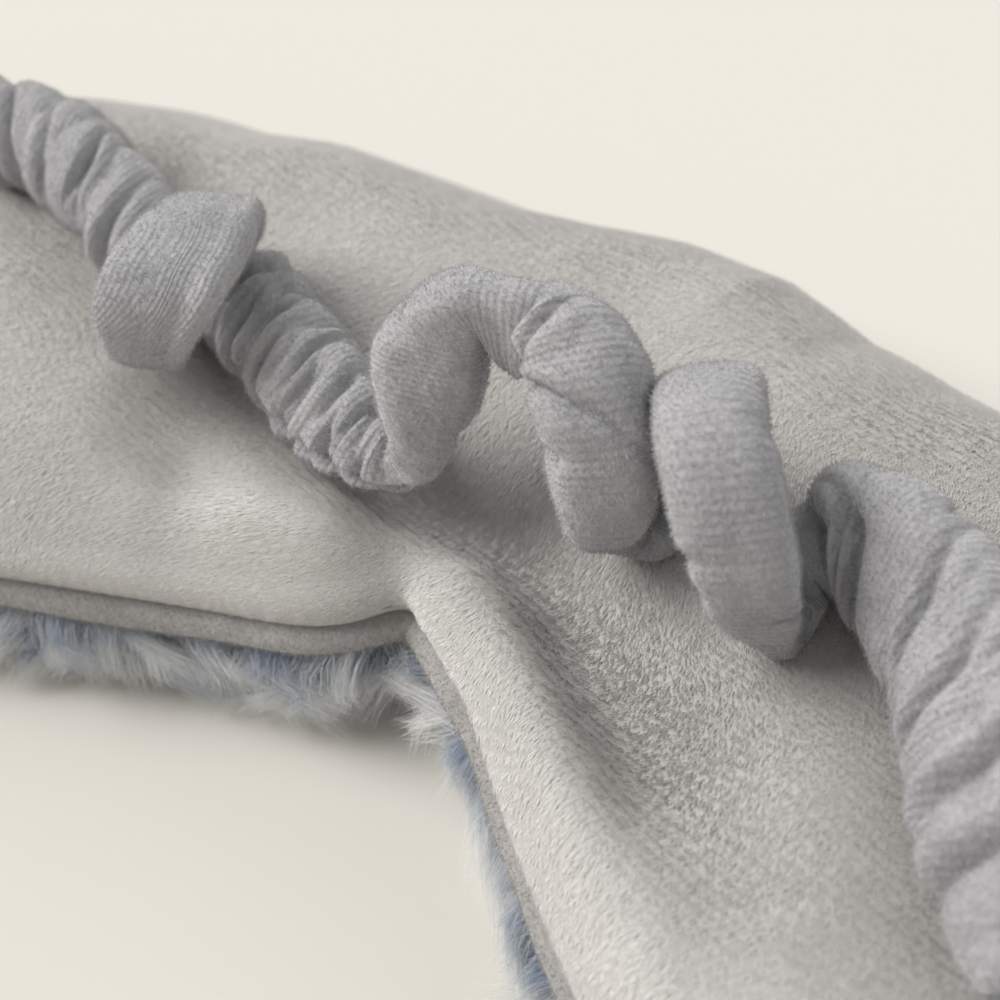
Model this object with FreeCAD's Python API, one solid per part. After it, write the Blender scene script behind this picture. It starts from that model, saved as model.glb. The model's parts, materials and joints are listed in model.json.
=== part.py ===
import FreeCAD, Part
import os

# Plush sleep eye mask, as separate soft pieces.
# Frame: X across the mask (wearer's width), +Y towards the forehead edge,
# +Z out of the smooth plush front. The long-pile face side lies on z = 0.
# The mask is cut at x = 0, where it folds over the nose. All sizes in mm.
# Right pieces lie at +X, left pieces at -X.

V = FreeCAD.Vector

# ---- driving dimensions ----
HALF_GAP = 0.25            # half the slit between the two halves at the nose fold
END_X = 105.0              # half the mask width
FUR_TOP = 11.2             # height of the long-pile face panel
BODY_TOP = 22.0            # top of the padded front
SKIN = 1.3                 # front fabric thickness with its pile, at the top

SEAM_Z = 14.0              # middle height of the edge binding
BINDING_HEIGHT = 5.1
BINDING_DEPTH = 5.1        # in from the outline
BINDING_BOTTOM = SEAM_Z - BINDING_HEIGHT / 2
BINDING_TOP = SEAM_Z + BINDING_HEIGHT / 2

STITCH_INSET = 2.9         # in from the outline
STITCH_WIDTH = 0.4
STITCH_Z0 = BINDING_TOP + 0.02
STITCH_Z1 = BINDING_TOP + 0.36

POUCH_WALL = 0.6
POUCH_CUT_X = 1.0          # the pouch's flat side at the nose fold
POUCH_INSET = 7.0          # at the pouch's bottom edge
POUCH_BOTTOM = 11.4
POUCH_TOP = 20.4
FILL_CUT_X = 1.8           # the filling's flat side at the nose fold

BARTACK_LENGTH = 2.4       # along X
BARTACK_WIDTH = 14.0
BARTACK_HEIGHT = 2.6
BARTACK_GAP = 0.1          # from the end of the mask

ROOT_X0, ROOT_X1 = 108.0, 111.2   # upright strap root, outboard of the mask end
ROOT_X = (ROOT_X0 + ROOT_X1) / 2
ROOT_Z0, ROOT_Z1 = 11.0, 24.0
ROOT_HEIGHT = ROOT_Z1 - ROOT_Z0
ROOT_WIDTH = 16.0
ROOT_CORNER_RADIUS = 1.2
ROOT_CHANNEL_T = 1.8
ROOT_CHANNEL_OVERRUN = 2.0 # the channel cutter runs past both ends of the root

STRAP_WIDTH, STRAP_T = 13.0, 3.8        # gathered cover
CHANNEL_WIDTH, CHANNEL_T = 10.4, 2.0    # channel in the cover for the elastic
ELASTIC_WIDTH, ELASTIC_T = 8.0, 0.9
STRAP_FLAT = 0.74          # flat share of the hexagonal section's width
STRAP_END_Z = 24.4         # where the strap starts, just above its root

# Outline of the right half (x, y): nose apex, lower lobe, end, forehead edge.
OUTLINE = [
    (0.0, -9.5), (3.4, -11.4), (9.0, -15.8), (17.0, -21.1), (26.0, -26.3),
    (36.0, -31.8), (47.0, -37.9), (58.0, -42.9), (69.0, -45.4), (80.0, -44.0),
    (90.0, -37.7), (98.0, -27.5), (103.4, -14.5), (END_X, -1.0), (103.2, 11.0),
    (98.0, 19.8), (90.0, 26.0), (80.0, 29.8), (68.0, 32.6), (54.0, 35.9),
    (40.0, 39.2), (27.0, 42.3), (13.0, 44.8), (0.0, 45.4),
]
OUTLINE_STEPS = 88         # samples along the right half's outline
MIRRORED_SAMPLES = 6       # carried past x = 0 at each end, so that the cut can be found
LOFT_STEPS = 64            # evenly spaced spans in each loft wire
MIN_SPAN = 0.4             # shorter spans next to the cut are merged

# Strap stations (x, y, z, lean); the strap's width lies along (lean, 1, 0).
LEFT_STATIONS = [
    (-ROOT_X, 0, STRAP_END_Z, 0), (-109.3, 0, 28.0, 0), (-106.0, 0, 30.8, 0),
    (-100, 0.3, 31.2, 0), (-90, 1.2, 30.2, 0), (-78, 1.8, 29.2, 0), (-66, 2.8, 29, 0),
    (-55, 2.6, 29.5, 0), (-45, 1.0, 31, 0.15), (-36, -1.5, 31.2, 0.1), (-27, -2.7, 29.2, 0),
    (-18, -3.6, 27.8, 0), (-11.8, -3.6, 28.4, 0), (-8.8, -2.4, 32, 0), (-8.2, 0.5, 37, 0),
    (-5.4, 3.8, 40.4, -0.3), (-0.3, 6.0, 41.2, -0.3),
]
RIGHT_STATIONS = [
    (0.3, 6.0, 41.2, -0.3), (4.6, 5.8, 39.4, -0.3), (8.0, 4.2, 35.0, 0), (9.8, 2.4, 30.4, 0),
    (12.6, 1.6, 27.6, 0), (15.4, 2.8, 30.2, 0), (16.4, 4.6, 34.6, 0), (19.2, 5.8, 38.4, 0),
    (23, 4.4, 38.0, 0), (26.2, 2.4, 34, 0), (27.8, 1.0, 30.2, 0), (30.6, 1.0, 27.6, 0),
    (33.6, 2.2, 30, 0.1), (35.8, 3.4, 33.6, 0.2), (39.6, 2.6, 35.4, 0.4),
    (44, -1.4, 34.2, 0.6), (49, -6.6, 33, 0.6), (55, -10.5, 32, 0.4), (63, -12.5, 31, 0.15),
    (74, -11.5, 30.5, -0.1), (86, -8, 30.5, -0.3), (96.5, -3.2, 31, -0.3),
    (103.8, -0.6, 31.2, -0.1), (108.2, 0, 28.8, 0), (ROOT_X, 0, STRAP_END_Z, 0),
]


# ---- lofts from the outline ----
def outline_samples():
    """(point, inward normal) pairs along the right half, nose apex first."""
    right = [V(x, y, 0) for x, y in OUTLINE]
    ring = right + [V(-p.x, p.y, 0) for p in reversed(right[1:-1])]
    curve = Part.BSplineCurve()
    curve.interpolate(Points=ring, PeriodicFlag=True)
    first = curve.FirstParameter
    last = curve.parameter(right[-1])
    samples = []
    for i in range(OUTLINE_STEPS + 1):
        at = first + (last - first) * i / OUTLINE_STEPS
        point = curve.value(at)
        tangent = curve.tangent(at)[0]
        samples.append((point, V(-tangent.y, tangent.x, 0)))
    # both ends lie exactly on the mirror line
    samples[0] = (V(0, samples[0][0].y, 0), V(0, 1, 0))
    samples[-1] = (V(0, samples[-1][0].y, 0), V(0, -1, 0))
    return samples


SAMPLES = outline_samples()


def cut_point(start, end, cut_x, z):
    """Where the span from start to end crosses x = cut_x."""
    share = (cut_x - start.x) / (end.x - start.x)
    return V(cut_x, start.y + (end.y - start.y) * share, z)


def respaced(points):
    """Evenly spaced points, so that every level of a loft has the same number."""
    lengths = [0.0]
    for start, end in zip(points, points[1:]):
        lengths.append(lengths[-1] + (end - start).Length)
    even, k = [], 0
    for i in range(LOFT_STEPS + 1):
        target = lengths[-1] * i / LOFT_STEPS
        while k < len(lengths) - 2 and lengths[k + 1] < target:
            k += 1
        share = (target - lengths[k]) / (lengths[k + 1] - lengths[k])
        even.append(points[k] + (points[k + 1] - points[k]) * min(max(share, 0.0), 1.0))
    return even


def half_wire(inset, z, cut_x):
    """Closed wire of the right half's outline, moved in by inset, closed at x = cut_x."""
    half = [point + inward * inset for point, inward in SAMPLES]
    mirrored = [V(-p.x, p.y, 0) for p in half]
    count = MIRRORED_SAMPLES
    run = mirrored[count:0:-1] + half + mirrored[-2:-2 - count:-1]
    kept = []
    for start, end in zip(run, run[1:]):
        if end.x > cut_x:
            if not kept:
                kept.append(cut_point(start, end, cut_x, z))
            kept.append(V(end.x, end.y, z))
        elif kept:
            kept.append(cut_point(start, end, cut_x, z))
            break
    if (kept[1] - kept[0]).Length < MIN_SPAN:
        del kept[1]
    if (kept[-1] - kept[-2]).Length < MIN_SPAN:
        del kept[-2]
    points = respaced(kept)
    curve = Part.BSplineCurve()
    curve.interpolate(Points=points)
    return Part.Wire([curve.toShape(), Part.makeLine(points[-1], points[0])])


def stack(levels, cut_x=HALF_GAP):
    """Ruled solid through levels of (inset from the outline, z)."""
    return Part.makeLoft([half_wire(inset, z, cut_x) for inset, z in levels], True, True)


def export(shape, name):
    shape.exportStep("parts/%s.step" % name)


def export_pair(name, right):
    """Write the right piece and its mirror image."""
    if len(right.Solids) == 1:
        right = right.Solids[0]
    export(right, name + "_right")
    export(right.mirror(V(0, 0, 0), V(1, 0, 0)), name + "_left")


# ---- mask pieces, right half ----
def face_panel():
    """Long-pile panel: narrow where it rests, flaring out past the binding."""
    return stack([(4.2, 0.0), (1.4, 1.2), (-0.4, 3.0), (-1.3, 5.6), (-1.0, 8.6),
                  (0.8, FUR_TOP)])


def front_panel():
    """Smooth plush front: a domed skin that turns down into the binding."""
    outer = stack([(5.2, 12.2), (5.2, 16.6), (2.4, 17.4), (1.6, 18.6), (2.2, 19.8),
                   (4.2, 20.9), (8.0, 21.6), (13.0, BODY_TOP)])
    inner = stack([(6.6, 11.0), (6.6, 16.9), (4.1, 17.9), (3.1, 18.6), (3.7, 19.3),
                   (5.3, 19.9), (8.8, 20.4), (13.5, BODY_TOP - SKIN)])
    return outer.cut(inner)


def edge_binding():
    """Velour binding, a rounded band round the edge."""
    outer = stack([(2.6, BINDING_BOTTOM), (0.8, BINDING_BOTTOM + 0.9), (0.1, SEAM_Z - 0.8),
                   (0.1, SEAM_Z + 0.8), (0.8, BINDING_TOP - 0.9), (2.6, BINDING_TOP)])
    inner = stack([(BINDING_DEPTH, BINDING_BOTTOM - 2), (BINDING_DEPTH, BINDING_TOP + 2)])
    return outer.cut(inner)


def binding_stitch():
    """Stitch line on top of the binding."""
    inner_inset = STITCH_INSET + STITCH_WIDTH
    outer = stack([(STITCH_INSET, STITCH_Z0), (STITCH_INSET, STITCH_Z1)])
    inner = stack([(inner_inset, BINDING_TOP - 1), (inner_inset, BINDING_TOP + 1)])
    return outer.cut(inner)


def inner_pouch():
    """Woven pouch, closed all round."""
    outer = stack([(POUCH_INSET, POUCH_BOTTOM), (POUCH_INSET, 16.95), (4.6, 18.0),
                   (3.8, 18.6), (4.3, 19.0), (5.9, 19.55), (9.2, 20.05),
                   (13.9, POUCH_TOP)], POUCH_CUT_X)
    inner_inset = POUCH_INSET + POUCH_WALL
    inner = stack([(inner_inset, POUCH_BOTTOM + POUCH_WALL), (inner_inset, 17.15),
                   (5.5, 18.1), (4.7, 18.55), (5.1, 18.75), (6.4, 19.0), (9.6, 19.45),
                   (14.3, POUCH_TOP - POUCH_WALL)], POUCH_CUT_X + POUCH_WALL)
    return outer.cut(inner)


def grain_fill():
    """Loose filling inside the pouch."""
    return stack([(7.8, 12.2), (7.8, 17.2), (5.9, 18.1), (5.2, 18.45), (5.6, 18.6),
                  (6.8, 18.8), (9.9, 19.2), (14.5, 19.5)], FILL_CUT_X)


def strap_bartack():
    """Folded strap end, sewn into the end seam."""
    corner = V(END_X + BARTACK_GAP, -BARTACK_WIDTH / 2, SEAM_Z - BARTACK_HEIGHT / 2)
    return Part.makeBox(BARTACK_LENGTH, BARTACK_WIDTH, BARTACK_HEIGHT, corner)


def root_box(thickness, width, overrun=0.0):
    """Upright box centred on the strap root, run past both its ends."""
    corner = V(ROOT_X - thickness / 2, -width / 2, ROOT_Z0 - overrun)
    return Part.makeBox(thickness, width, ROOT_HEIGHT + 2 * overrun, corner)


def strap_root_cover():
    """Short upright length of cover beyond the end of the mask."""
    outer = root_box(ROOT_X1 - ROOT_X0, ROOT_WIDTH)
    upright = [e for e in outer.Edges if abs(e.tangentAt(e.FirstParameter).z) > 0.9]
    outer = outer.makeFillet(ROOT_CORNER_RADIUS, upright)
    return outer.cut(root_box(ROOT_CHANNEL_T, CHANNEL_WIDTH, ROOT_CHANNEL_OVERRUN))


def strap_root_elastic():
    return root_box(ELASTIC_T, ELASTIC_WIDTH)


# ---- strap ----
def strap_frames(stations, count, first_tangent, last_tangent):
    """(centre, width direction, thickness direction) at count + 1 places on the path."""
    path = [V(x, y, z) for x, y, z, lean in stations]
    leans = [station[3] for station in stations]
    curve = Part.BSplineCurve()
    curve.interpolate(Points=path)
    params = [curve.parameter(p) for p in path]
    frames = []
    for i in range(count + 1):
        at = curve.FirstParameter + (curve.LastParameter - curve.FirstParameter) * i / count
        tangent = curve.tangent(at)[0]
        if i == 0:
            tangent = first_tangent
        elif i == count:
            tangent = last_tangent
        k = 0
        while k < len(params) - 2 and params[k + 1] < at:
            k += 1
        share = min(max((at - params[k]) / (params[k + 1] - params[k]), 0.0), 1.0)
        across = V(leans[k] * (1 - share) + leans[k + 1] * share, 1, 0)
        across = across - tangent * across.dot(tangent)
        across.normalize()
        frames.append((curve.value(at), across, tangent.cross(across)))
    return frames


def sections(frames, width, thickness):
    """One closed flattened hexagon per frame."""
    hexagon = ((1, 0), (STRAP_FLAT, 1), (-STRAP_FLAT, 1),
               (-1, 0), (-STRAP_FLAT, -1), (STRAP_FLAT, -1))
    wires = []
    for centre, across, normal in frames:
        points = [centre + across * (a * width / 2) + normal * (b * thickness / 2)
                  for a, b in hexagon]
        wires.append(Part.makePolygon(points + points[:1]))
    return wires


def corner_pairs(wire_a, wire_b):
    """Matching sides of two sections, as (a, next a, b, next b)."""
    a = [v.Point for v in wire_a.Vertexes]
    b = [v.Point for v in wire_b.Vertexes]
    return zip(a, a[1:] + a[:1], b, b[1:] + b[:1])


def polygon_face(*points):
    return Part.Face(Part.makePolygon(points + points[:1]))


def skin(wires):
    """Triangles along a row of sections."""
    faces = []
    for wire_a, wire_b in zip(wires, wires[1:]):
        for a, next_a, b, next_b in corner_pairs(wire_a, wire_b):
            faces.append(polygon_face(a, next_a, next_b))
            faces.append(polygon_face(a, next_b, b))
    return faces


def sewn_solid(faces):
    shell = Part.makeShell(faces)
    shell.sewShape()
    solid = Part.makeSolid(shell)
    if solid.Volume < 0:
        solid.reverse()
    return solid


def strap(side, *path):
    """Gathered cover, open at both ends, with the flat elastic in its channel."""
    frames = strap_frames(*path)
    outer = sections(frames, STRAP_WIDTH, STRAP_T)
    inner = sections(frames, CHANNEL_WIDTH, CHANNEL_T)
    faces = skin(outer) + skin(inner)
    for end in (0, -1):
        for a, next_a, b, next_b in corner_pairs(outer[end], inner[end]):
            faces.append(polygon_face(a, next_a, next_b, b))
    export(sewn_solid(faces), "strap_cover_" + side)

    rows = sections(frames, ELASTIC_WIDTH, ELASTIC_T)
    caps = [Part.Face(rows[0]), Part.Face(rows[-1])]
    export(sewn_solid(skin(rows) + caps), "strap_elastic_" + side)


os.makedirs("parts", exist_ok=True)
for piece in (face_panel, front_panel, edge_binding, binding_stitch, inner_pouch, grain_fill,
              strap_bartack, strap_root_cover, strap_root_elastic):
    export_pair(piece.__name__, piece())
strap("left", LEFT_STATIONS, 64, V(0, 0, 1), V(1, 0, 0))
strap("right", RIGHT_STATIONS, 96, V(1, 0, 0), V(0, 0, -1))
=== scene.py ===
import json
import math

import bpy
import numpy as np
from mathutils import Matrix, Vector

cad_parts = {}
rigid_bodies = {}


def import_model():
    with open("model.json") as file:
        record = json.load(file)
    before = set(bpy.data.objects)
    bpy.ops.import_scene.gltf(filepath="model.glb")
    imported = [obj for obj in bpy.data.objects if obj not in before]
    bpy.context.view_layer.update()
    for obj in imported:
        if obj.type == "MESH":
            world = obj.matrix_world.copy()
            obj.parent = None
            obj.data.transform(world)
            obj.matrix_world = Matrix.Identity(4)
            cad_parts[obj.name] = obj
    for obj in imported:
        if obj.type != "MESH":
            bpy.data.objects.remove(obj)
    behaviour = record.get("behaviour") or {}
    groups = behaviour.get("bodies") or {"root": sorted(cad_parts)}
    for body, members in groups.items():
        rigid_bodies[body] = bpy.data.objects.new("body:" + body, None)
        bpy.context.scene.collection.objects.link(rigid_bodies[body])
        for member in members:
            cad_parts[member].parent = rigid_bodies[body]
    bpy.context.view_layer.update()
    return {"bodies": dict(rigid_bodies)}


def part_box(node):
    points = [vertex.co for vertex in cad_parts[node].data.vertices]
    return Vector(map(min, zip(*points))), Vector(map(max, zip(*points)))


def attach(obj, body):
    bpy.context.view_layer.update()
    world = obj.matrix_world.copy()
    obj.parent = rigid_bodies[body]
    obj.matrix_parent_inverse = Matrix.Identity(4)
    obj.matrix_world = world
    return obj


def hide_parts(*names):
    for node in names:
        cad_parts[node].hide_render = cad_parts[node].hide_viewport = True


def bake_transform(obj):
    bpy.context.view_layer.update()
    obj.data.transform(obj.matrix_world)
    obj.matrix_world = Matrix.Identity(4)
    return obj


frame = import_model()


MM = 0.001
rng = np.random.default_rng(20788)

# =====================================================================
# helpers: noise, splines, meshes
# =====================================================================
_perm = np.random.default_rng(7).permutation(256)
_perm = np.concatenate([_perm, _perm, _perm])
_grad = np.random.default_rng(11).normal(size=(256, 3))
_grad /= np.linalg.norm(_grad, axis=1)[:, None]


def noise3(p, scale=1.0, seed=0.0):
    """Gradient noise, about -1..1, for an (n, 3) array."""
    q = np.asarray(p, float) / scale + seed * np.array([17.13, 5.71, 9.37])
    i = np.floor(q).astype(int)
    f = q - i
    u = f * f * f * (f * (f * 6 - 15) + 10)
    out = 0
    for dx in (0, 1):
        for dy in (0, 1):
            for dz in (0, 1):
                h = _perm[(_perm[(_perm[(i[:, 0] + dx) & 255] + i[:, 1] + dy) & 255] + i[:, 2] + dz) & 255]
                g = _grad[h]
                w = (np.where(dx, u[:, 0], 1 - u[:, 0]) * np.where(dy, u[:, 1], 1 - u[:, 1])
                     * np.where(dz, u[:, 2], 1 - u[:, 2]))
                out = out + w * ((f[:, 0] - dx) * g[:, 0] + (f[:, 1] - dy) * g[:, 1] + (f[:, 2] - dz) * g[:, 2])
    return out * 1.7


def unit(v):
    return v / np.maximum(np.linalg.norm(v, axis=-1, keepdims=True), 1e-9)


def smooth01(t):
    t = np.clip(t, 0, 1)
    return t * t * (3 - 2 * t)


def catmull(ctrl, n):
    """Points along a smooth curve through ctrl rows, 48 to each span."""
    c = np.asarray(ctrl, float)
    c = np.vstack([2 * c[0] - c[1], c, 2 * c[-1] - c[-2]])
    out = []
    for k in range(1, len(c) - 2):
        p0, p1, p2, p3 = c[k - 1:k + 3]
        t = np.linspace(0, 1, 48, endpoint=False)[:, None]
        out.append(0.5 * (2 * p1 + (p2 - p0) * t + (2 * p0 - 5 * p1 + 4 * p2 - p3) * t ** 2
                          + (3 * p1 - p0 - 3 * p2 + p3) * t ** 3))
    out.append(c[-2][None, :])
    return np.vstack(out)


def make_mesh(name, verts, tris=None, quads=None, mats=(), mat_index=None, smooth=True, uv=None):
    """verts in mm. tris (n,3) and/or quads (m,4). uv per vertex (n,2)."""
    me = bpy.data.meshes.new(name)
    v = (np.asarray(verts, np.float32) * MM).ravel()
    me.vertices.add(len(v) // 3)
    me.vertices.foreach_set("co", v)
    loops, starts, totals = [], [], []
    at = 0
    for arr in (quads, tris):
        if arr is None or len(arr) == 0:
            continue
        arr = np.asarray(arr, np.int32)
        k = arr.shape[1]
        loops.append(arr.ravel())
        starts.append(at + np.arange(len(arr), dtype=np.int32) * k)
        totals.append(np.full(len(arr), k, np.int32))
        at += arr.size
    loops = np.concatenate(loops)
    starts = np.concatenate(starts)
    me.loops.add(len(loops))
    me.loops.foreach_set("vertex_index", loops)
    me.polygons.add(len(starts))
    me.polygons.foreach_set("loop_start", starts)
    me.polygons.foreach_set("loop_total", np.concatenate(totals))
    me.polygons.foreach_set("use_smooth", np.full(len(starts), smooth))
    if mat_index is not None:
        me.polygons.foreach_set("material_index", np.asarray(mat_index, np.int32))
    if uv is not None:
        layer = me.uv_layers.new(name="UVMap")
        layer.data.foreach_set("uv", np.asarray(uv, np.float32)[loops].ravel())
    me.update(calc_edges=True)
    me.validate(verbose=False)
    ob = bpy.data.objects.new(name, me)
    bpy.context.scene.collection.objects.link(ob)
    for m in mats:
        me.materials.append(m)
    return ob


def grid_faces(rows, cols, wrap=False, flip=False):
    """Quads of a rows x cols vertex grid; wrap joins the last column to the first."""
    r = np.arange(rows - 1)[:, None]
    c = np.arange(cols if wrap else cols - 1)[None, :]
    c2 = (c + 1) % cols
    a, b = r * cols + c, r * cols + c2
    d, e = (r + 1) * cols + c2, (r + 1) * cols + c
    q = np.stack([a, b, d, e], -1).reshape(-1, 4)
    return q[:, ::-1] if flip else q


def grid_normals(p, wrap=False):
    """Normals of a (rows, cols, 3) grid, from its own differences."""
    du = np.gradient(p, axis=0)
    if wrap:
        dv = np.roll(p, -1, 1) - np.roll(p, 1, 1)
    else:
        dv = np.gradient(p, axis=1)
    return unit(np.cross(du, dv))


def ribbons(root, direc, up, length, width, bend, segs=3, roll=0.7, lift=None):
    """Flat tapering fibres. root, direc, up: (n,3). bend: (n,3) added to the tip. Returns verts and tris and tris per fibre."""
    n = len(root)
    side = unit(np.cross(direc, up) + 1e-6)
    a = (rng.random(n) - 0.5) * 2 * roll
    side = unit(side * np.cos(a)[:, None] + np.cross(direc, side) * np.sin(a)[:, None])
    cols = []
    for k in range(segs + 1):
        t = k / segs
        c = root + direc * (length * t)[:, None] + bend * (t * t)
        w = width * (1 - 0.75 * t ** 1.5)
        if k == segs:
            cols.append(c[:, None, :])
        else:
            cols.append(np.stack([c - side * (w / 2)[:, None], c + side * (w / 2)[:, None]], 1))
    v = np.concatenate(cols, 1)
    per = v.shape[1]
    base = (np.arange(n) * per)[:, None, None]
    t = []
    for k in range(segs - 1):
        i = 2 * k
        t += [[i, i + 1, i + 3], [i, i + 3, i + 2]]
    i = 2 * (segs - 1)
    t += [[i, i + 1, i + 2]]
    t = np.array(t)[None] + base
    return v.reshape(-1, 3), t.reshape(-1, 3), t.shape[1]


# =====================================================================
# materials
# =====================================================================
def new_mat(name):
    m = bpy.data.materials.new(name)
    m.use_nodes = True
    nt = m.node_tree
    for n in list(nt.nodes):
        nt.nodes.remove(n)
    out = nt.nodes.new("ShaderNodeOutputMaterial")
    bsdf = nt.nodes.new("ShaderNodeBsdfPrincipled")
    nt.links.new(bsdf.outputs[0], out.inputs[0])
    return m, nt, bsdf, out


def lin(r, g, b):
    def f(c):
        c /= 255.0
        return c / 12.92 if c <= 0.04045 else ((c + 0.055) / 1.055) ** 2.4
    return (f(r), f(g), f(b), 1.0)


def fibre_mat(name, rgb, rough=0.6, sheen=0.3, trans=0.25):
    """Constant-colour fibre: soft, a little see-through."""
    m, nt, bsdf, out = new_mat(name)
    bsdf.inputs["Base Color"].default_value = lin(*rgb)
    bsdf.inputs["Roughness"].default_value = rough
    bsdf.inputs["Specular IOR Level"].default_value = 0.25
    bsdf.inputs["Sheen Weight"].default_value = sheen
    bsdf.inputs["Sheen Roughness"].default_value = 0.5
    bsdf.inputs["Sheen Tint"].default_value = (1, 1, 1, 1)
    tr = nt.nodes.new("ShaderNodeBsdfTranslucent")
    tr.inputs["Color"].default_value = lin(*rgb)
    mix = nt.nodes.new("ShaderNodeMixShader")
    mix.inputs[0].default_value = trans
    nt.links.new(bsdf.outputs[0], mix.inputs[1])
    nt.links.new(tr.outputs[0], mix.inputs[2])
    nt.links.new(mix.outputs[0], out.inputs[0])
    return m


def cloth_mat(name, dark, light, scale=900.0, bump=0.25, dist=0.0004, rough=0.85, sheen=0.6, sheen_rough=0.45,
              rib=None, patch=60.0, stretch=(1, 1, 1)):
    """Pile cloth: two-tone noise, soft patches, optional ribs along the first UV axis, bump."""
    m, nt, bsdf, out = new_mat(name)
    N, L = nt.nodes.new, nt.links.new
    geo = N("ShaderNodeNewGeometry")
    tc = N("ShaderNodeTexCoord")
    mp = N("ShaderNodeMapping")
    mp.inputs["Scale"].default_value = stretch
    L(tc.outputs["Object"], mp.inputs[0])
    n1 = N("ShaderNodeTexNoise")
    n1.inputs["Scale"].default_value = scale
    n1.inputs["Detail"].default_value = 3.0
    n1.inputs["Roughness"].default_value = 0.6
    L(mp.outputs[0], n1.inputs["Vector"])
    n2 = N("ShaderNodeTexNoise")
    n2.inputs["Scale"].default_value = patch
    n2.inputs["Detail"].default_value = 3.0
    L(tc.outputs["Object"], n2.inputs["Vector"])
    r1 = N("ShaderNodeValToRGB")
    r1.color_ramp.elements[0].position = 0.30
    r1.color_ramp.elements[1].position = 0.70
    r1.color_ramp.elements[0].color = lin(*dark)
    r1.color_ramp.elements[1].color = lin(*light)
    mixv = N("ShaderNodeMath")
    mixv.operation = "MULTIPLY_ADD"
    mixv.inputs[1].default_value = 0.55
    L(n2.outputs[0], mixv.inputs[0])
    half = N("ShaderNodeMath")
    half.operation = "MULTIPLY"
    half.inputs[1].default_value = 0.5
    L(n1.outputs[0], half.inputs[0])
    L(half.outputs[0], mixv.inputs[2])
    L(mixv.outputs[0], r1.inputs[0])
    L(r1.outputs[0], bsdf.inputs["Base Color"])
    height = n1.outputs[0]
    if rib:
        uvn = N("ShaderNodeUVMap")
        uvn.uv_map = "UVMap"
        sep = N("ShaderNodeSeparateXYZ")
        L(uvn.outputs[0], sep.inputs[0])
        wob = N("ShaderNodeMath")
        wob.operation = "MULTIPLY_ADD"
        wob.inputs[1].default_value = 2.4
        L(n2.outputs[0], wob.inputs[0])
        mul = N("ShaderNodeMath")
        mul.operation = "MULTIPLY"
        mul.inputs[1].default_value = 2 * math.pi / rib[0]
        L(sep.outputs[0], mul.inputs[0])
        L(mul.outputs[0], wob.inputs[2])
        sn = N("ShaderNodeMath")
        sn.operation = "SINE"
        L(wob.outputs[0], sn.inputs[0])
        add = N("ShaderNodeMath")
        add.operation = "MULTIPLY_ADD"
        add.inputs[1].default_value = rib[1]
        L(sn.outputs[0], add.inputs[0])
        L(n1.outputs[0], add.inputs[2])
        height = add.outputs[0]
    bp = N("ShaderNodeBump")
    bp.inputs["Strength"].default_value = bump
    bp.inputs["Distance"].default_value = dist
    L(height, bp.inputs["Height"])
    L(bp.outputs[0], bsdf.inputs["Normal"])
    bsdf.inputs["Roughness"].default_value = rough
    bsdf.inputs["Specular IOR Level"].default_value = 0.2
    bsdf.inputs["Sheen Weight"].default_value = sheen
    bsdf.inputs["Sheen Roughness"].default_value = sheen_rough
    bsdf.inputs["Sheen Tint"].default_value = (1, 1, 1, 1)
    return m


# =====================================================================
# outline of the mask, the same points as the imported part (mm)
# =====================================================================
OUTLINE = np.array([
    (0.0, -9.5), (3.4, -11.4), (9.0, -15.8), (17.0, -21.1), (26.0, -26.3),
    (36.0, -31.8), (47.0, -37.9), (58.0, -42.9), (69.0, -45.4), (80.0, -44.0),
    (90.0, -37.7), (98.0, -27.5), (103.4, -14.5), (105.0, -1.0), (103.2, 11.0),
    (98.0, 19.8), (90.0, 26.0), (80.0, 29.8), (68.0, 32.6), (54.0, 35.9),
    (40.0, 39.2), (27.0, 42.3), (13.0, 44.8), (0.0, 45.4),
])


def closed_outline(n):
    """n points evenly spaced round the outline, and the inward normals."""
    half = OUTLINE
    ring = np.vstack([half, half[-2:0:-1] * [-1, 1]])
    m = len(ring)
    seg = np.linalg.norm(np.roll(ring, -1, 0) - ring, axis=1)
    t = np.concatenate([[0], np.cumsum(seg)])
    # periodic cubic spline by second derivatives
    h = seg
    A = np.zeros((m, m))
    B = np.zeros((m, 2))
    for i in range(m):
        hm, hp = h[i - 1], h[i]
        A[i, (i - 1) % m] += hm
        A[i, i] += 2 * (hm + hp)
        A[i, (i + 1) % m] += hp
        B[i] = 6 * ((ring[(i + 1) % m] - ring[i]) / hp - (ring[i] - ring[i - 1]) / hm)
    M = np.linalg.solve(A, B)
    s = np.linspace(0, t[-1], 8000, endpoint=False)
    k = np.clip(np.searchsorted(t, s, side="right") - 1, 0, m - 1)
    a, b = ring[k], ring[(k + 1) % m]
    Ma, Mb = M[k], M[(k + 1) % m]
    hk = h[k][:, None]
    x = (s - t[k])[:, None]
    p = (Ma * (hk - x) ** 3 + Mb * x ** 3) / (6 * hk) + (a / hk - Ma * hk / 6) * (hk - x) + (b / hk - Mb * hk / 6) * x
    d = np.linalg.norm(np.roll(p, -1, 0) - p, axis=1)
    cum = np.concatenate([[0], np.cumsum(d)])
    want = np.linspace(0, cum[-1], n, endpoint=False)
    pp = np.vstack([p, p[:1]])
    out = np.stack([np.interp(want, cum, pp[:, 0]), np.interp(want, cum, pp[:, 1])], 1)
    tan = unit(np.roll(out, -1, 0) - np.roll(out, 1, 0))
    nrm = np.stack([-tan[:, 1], tan[:, 0]], 1)
    return out, nrm, cum[-1]


RING, RING_N, RING_LEN = closed_outline(2400)


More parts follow.
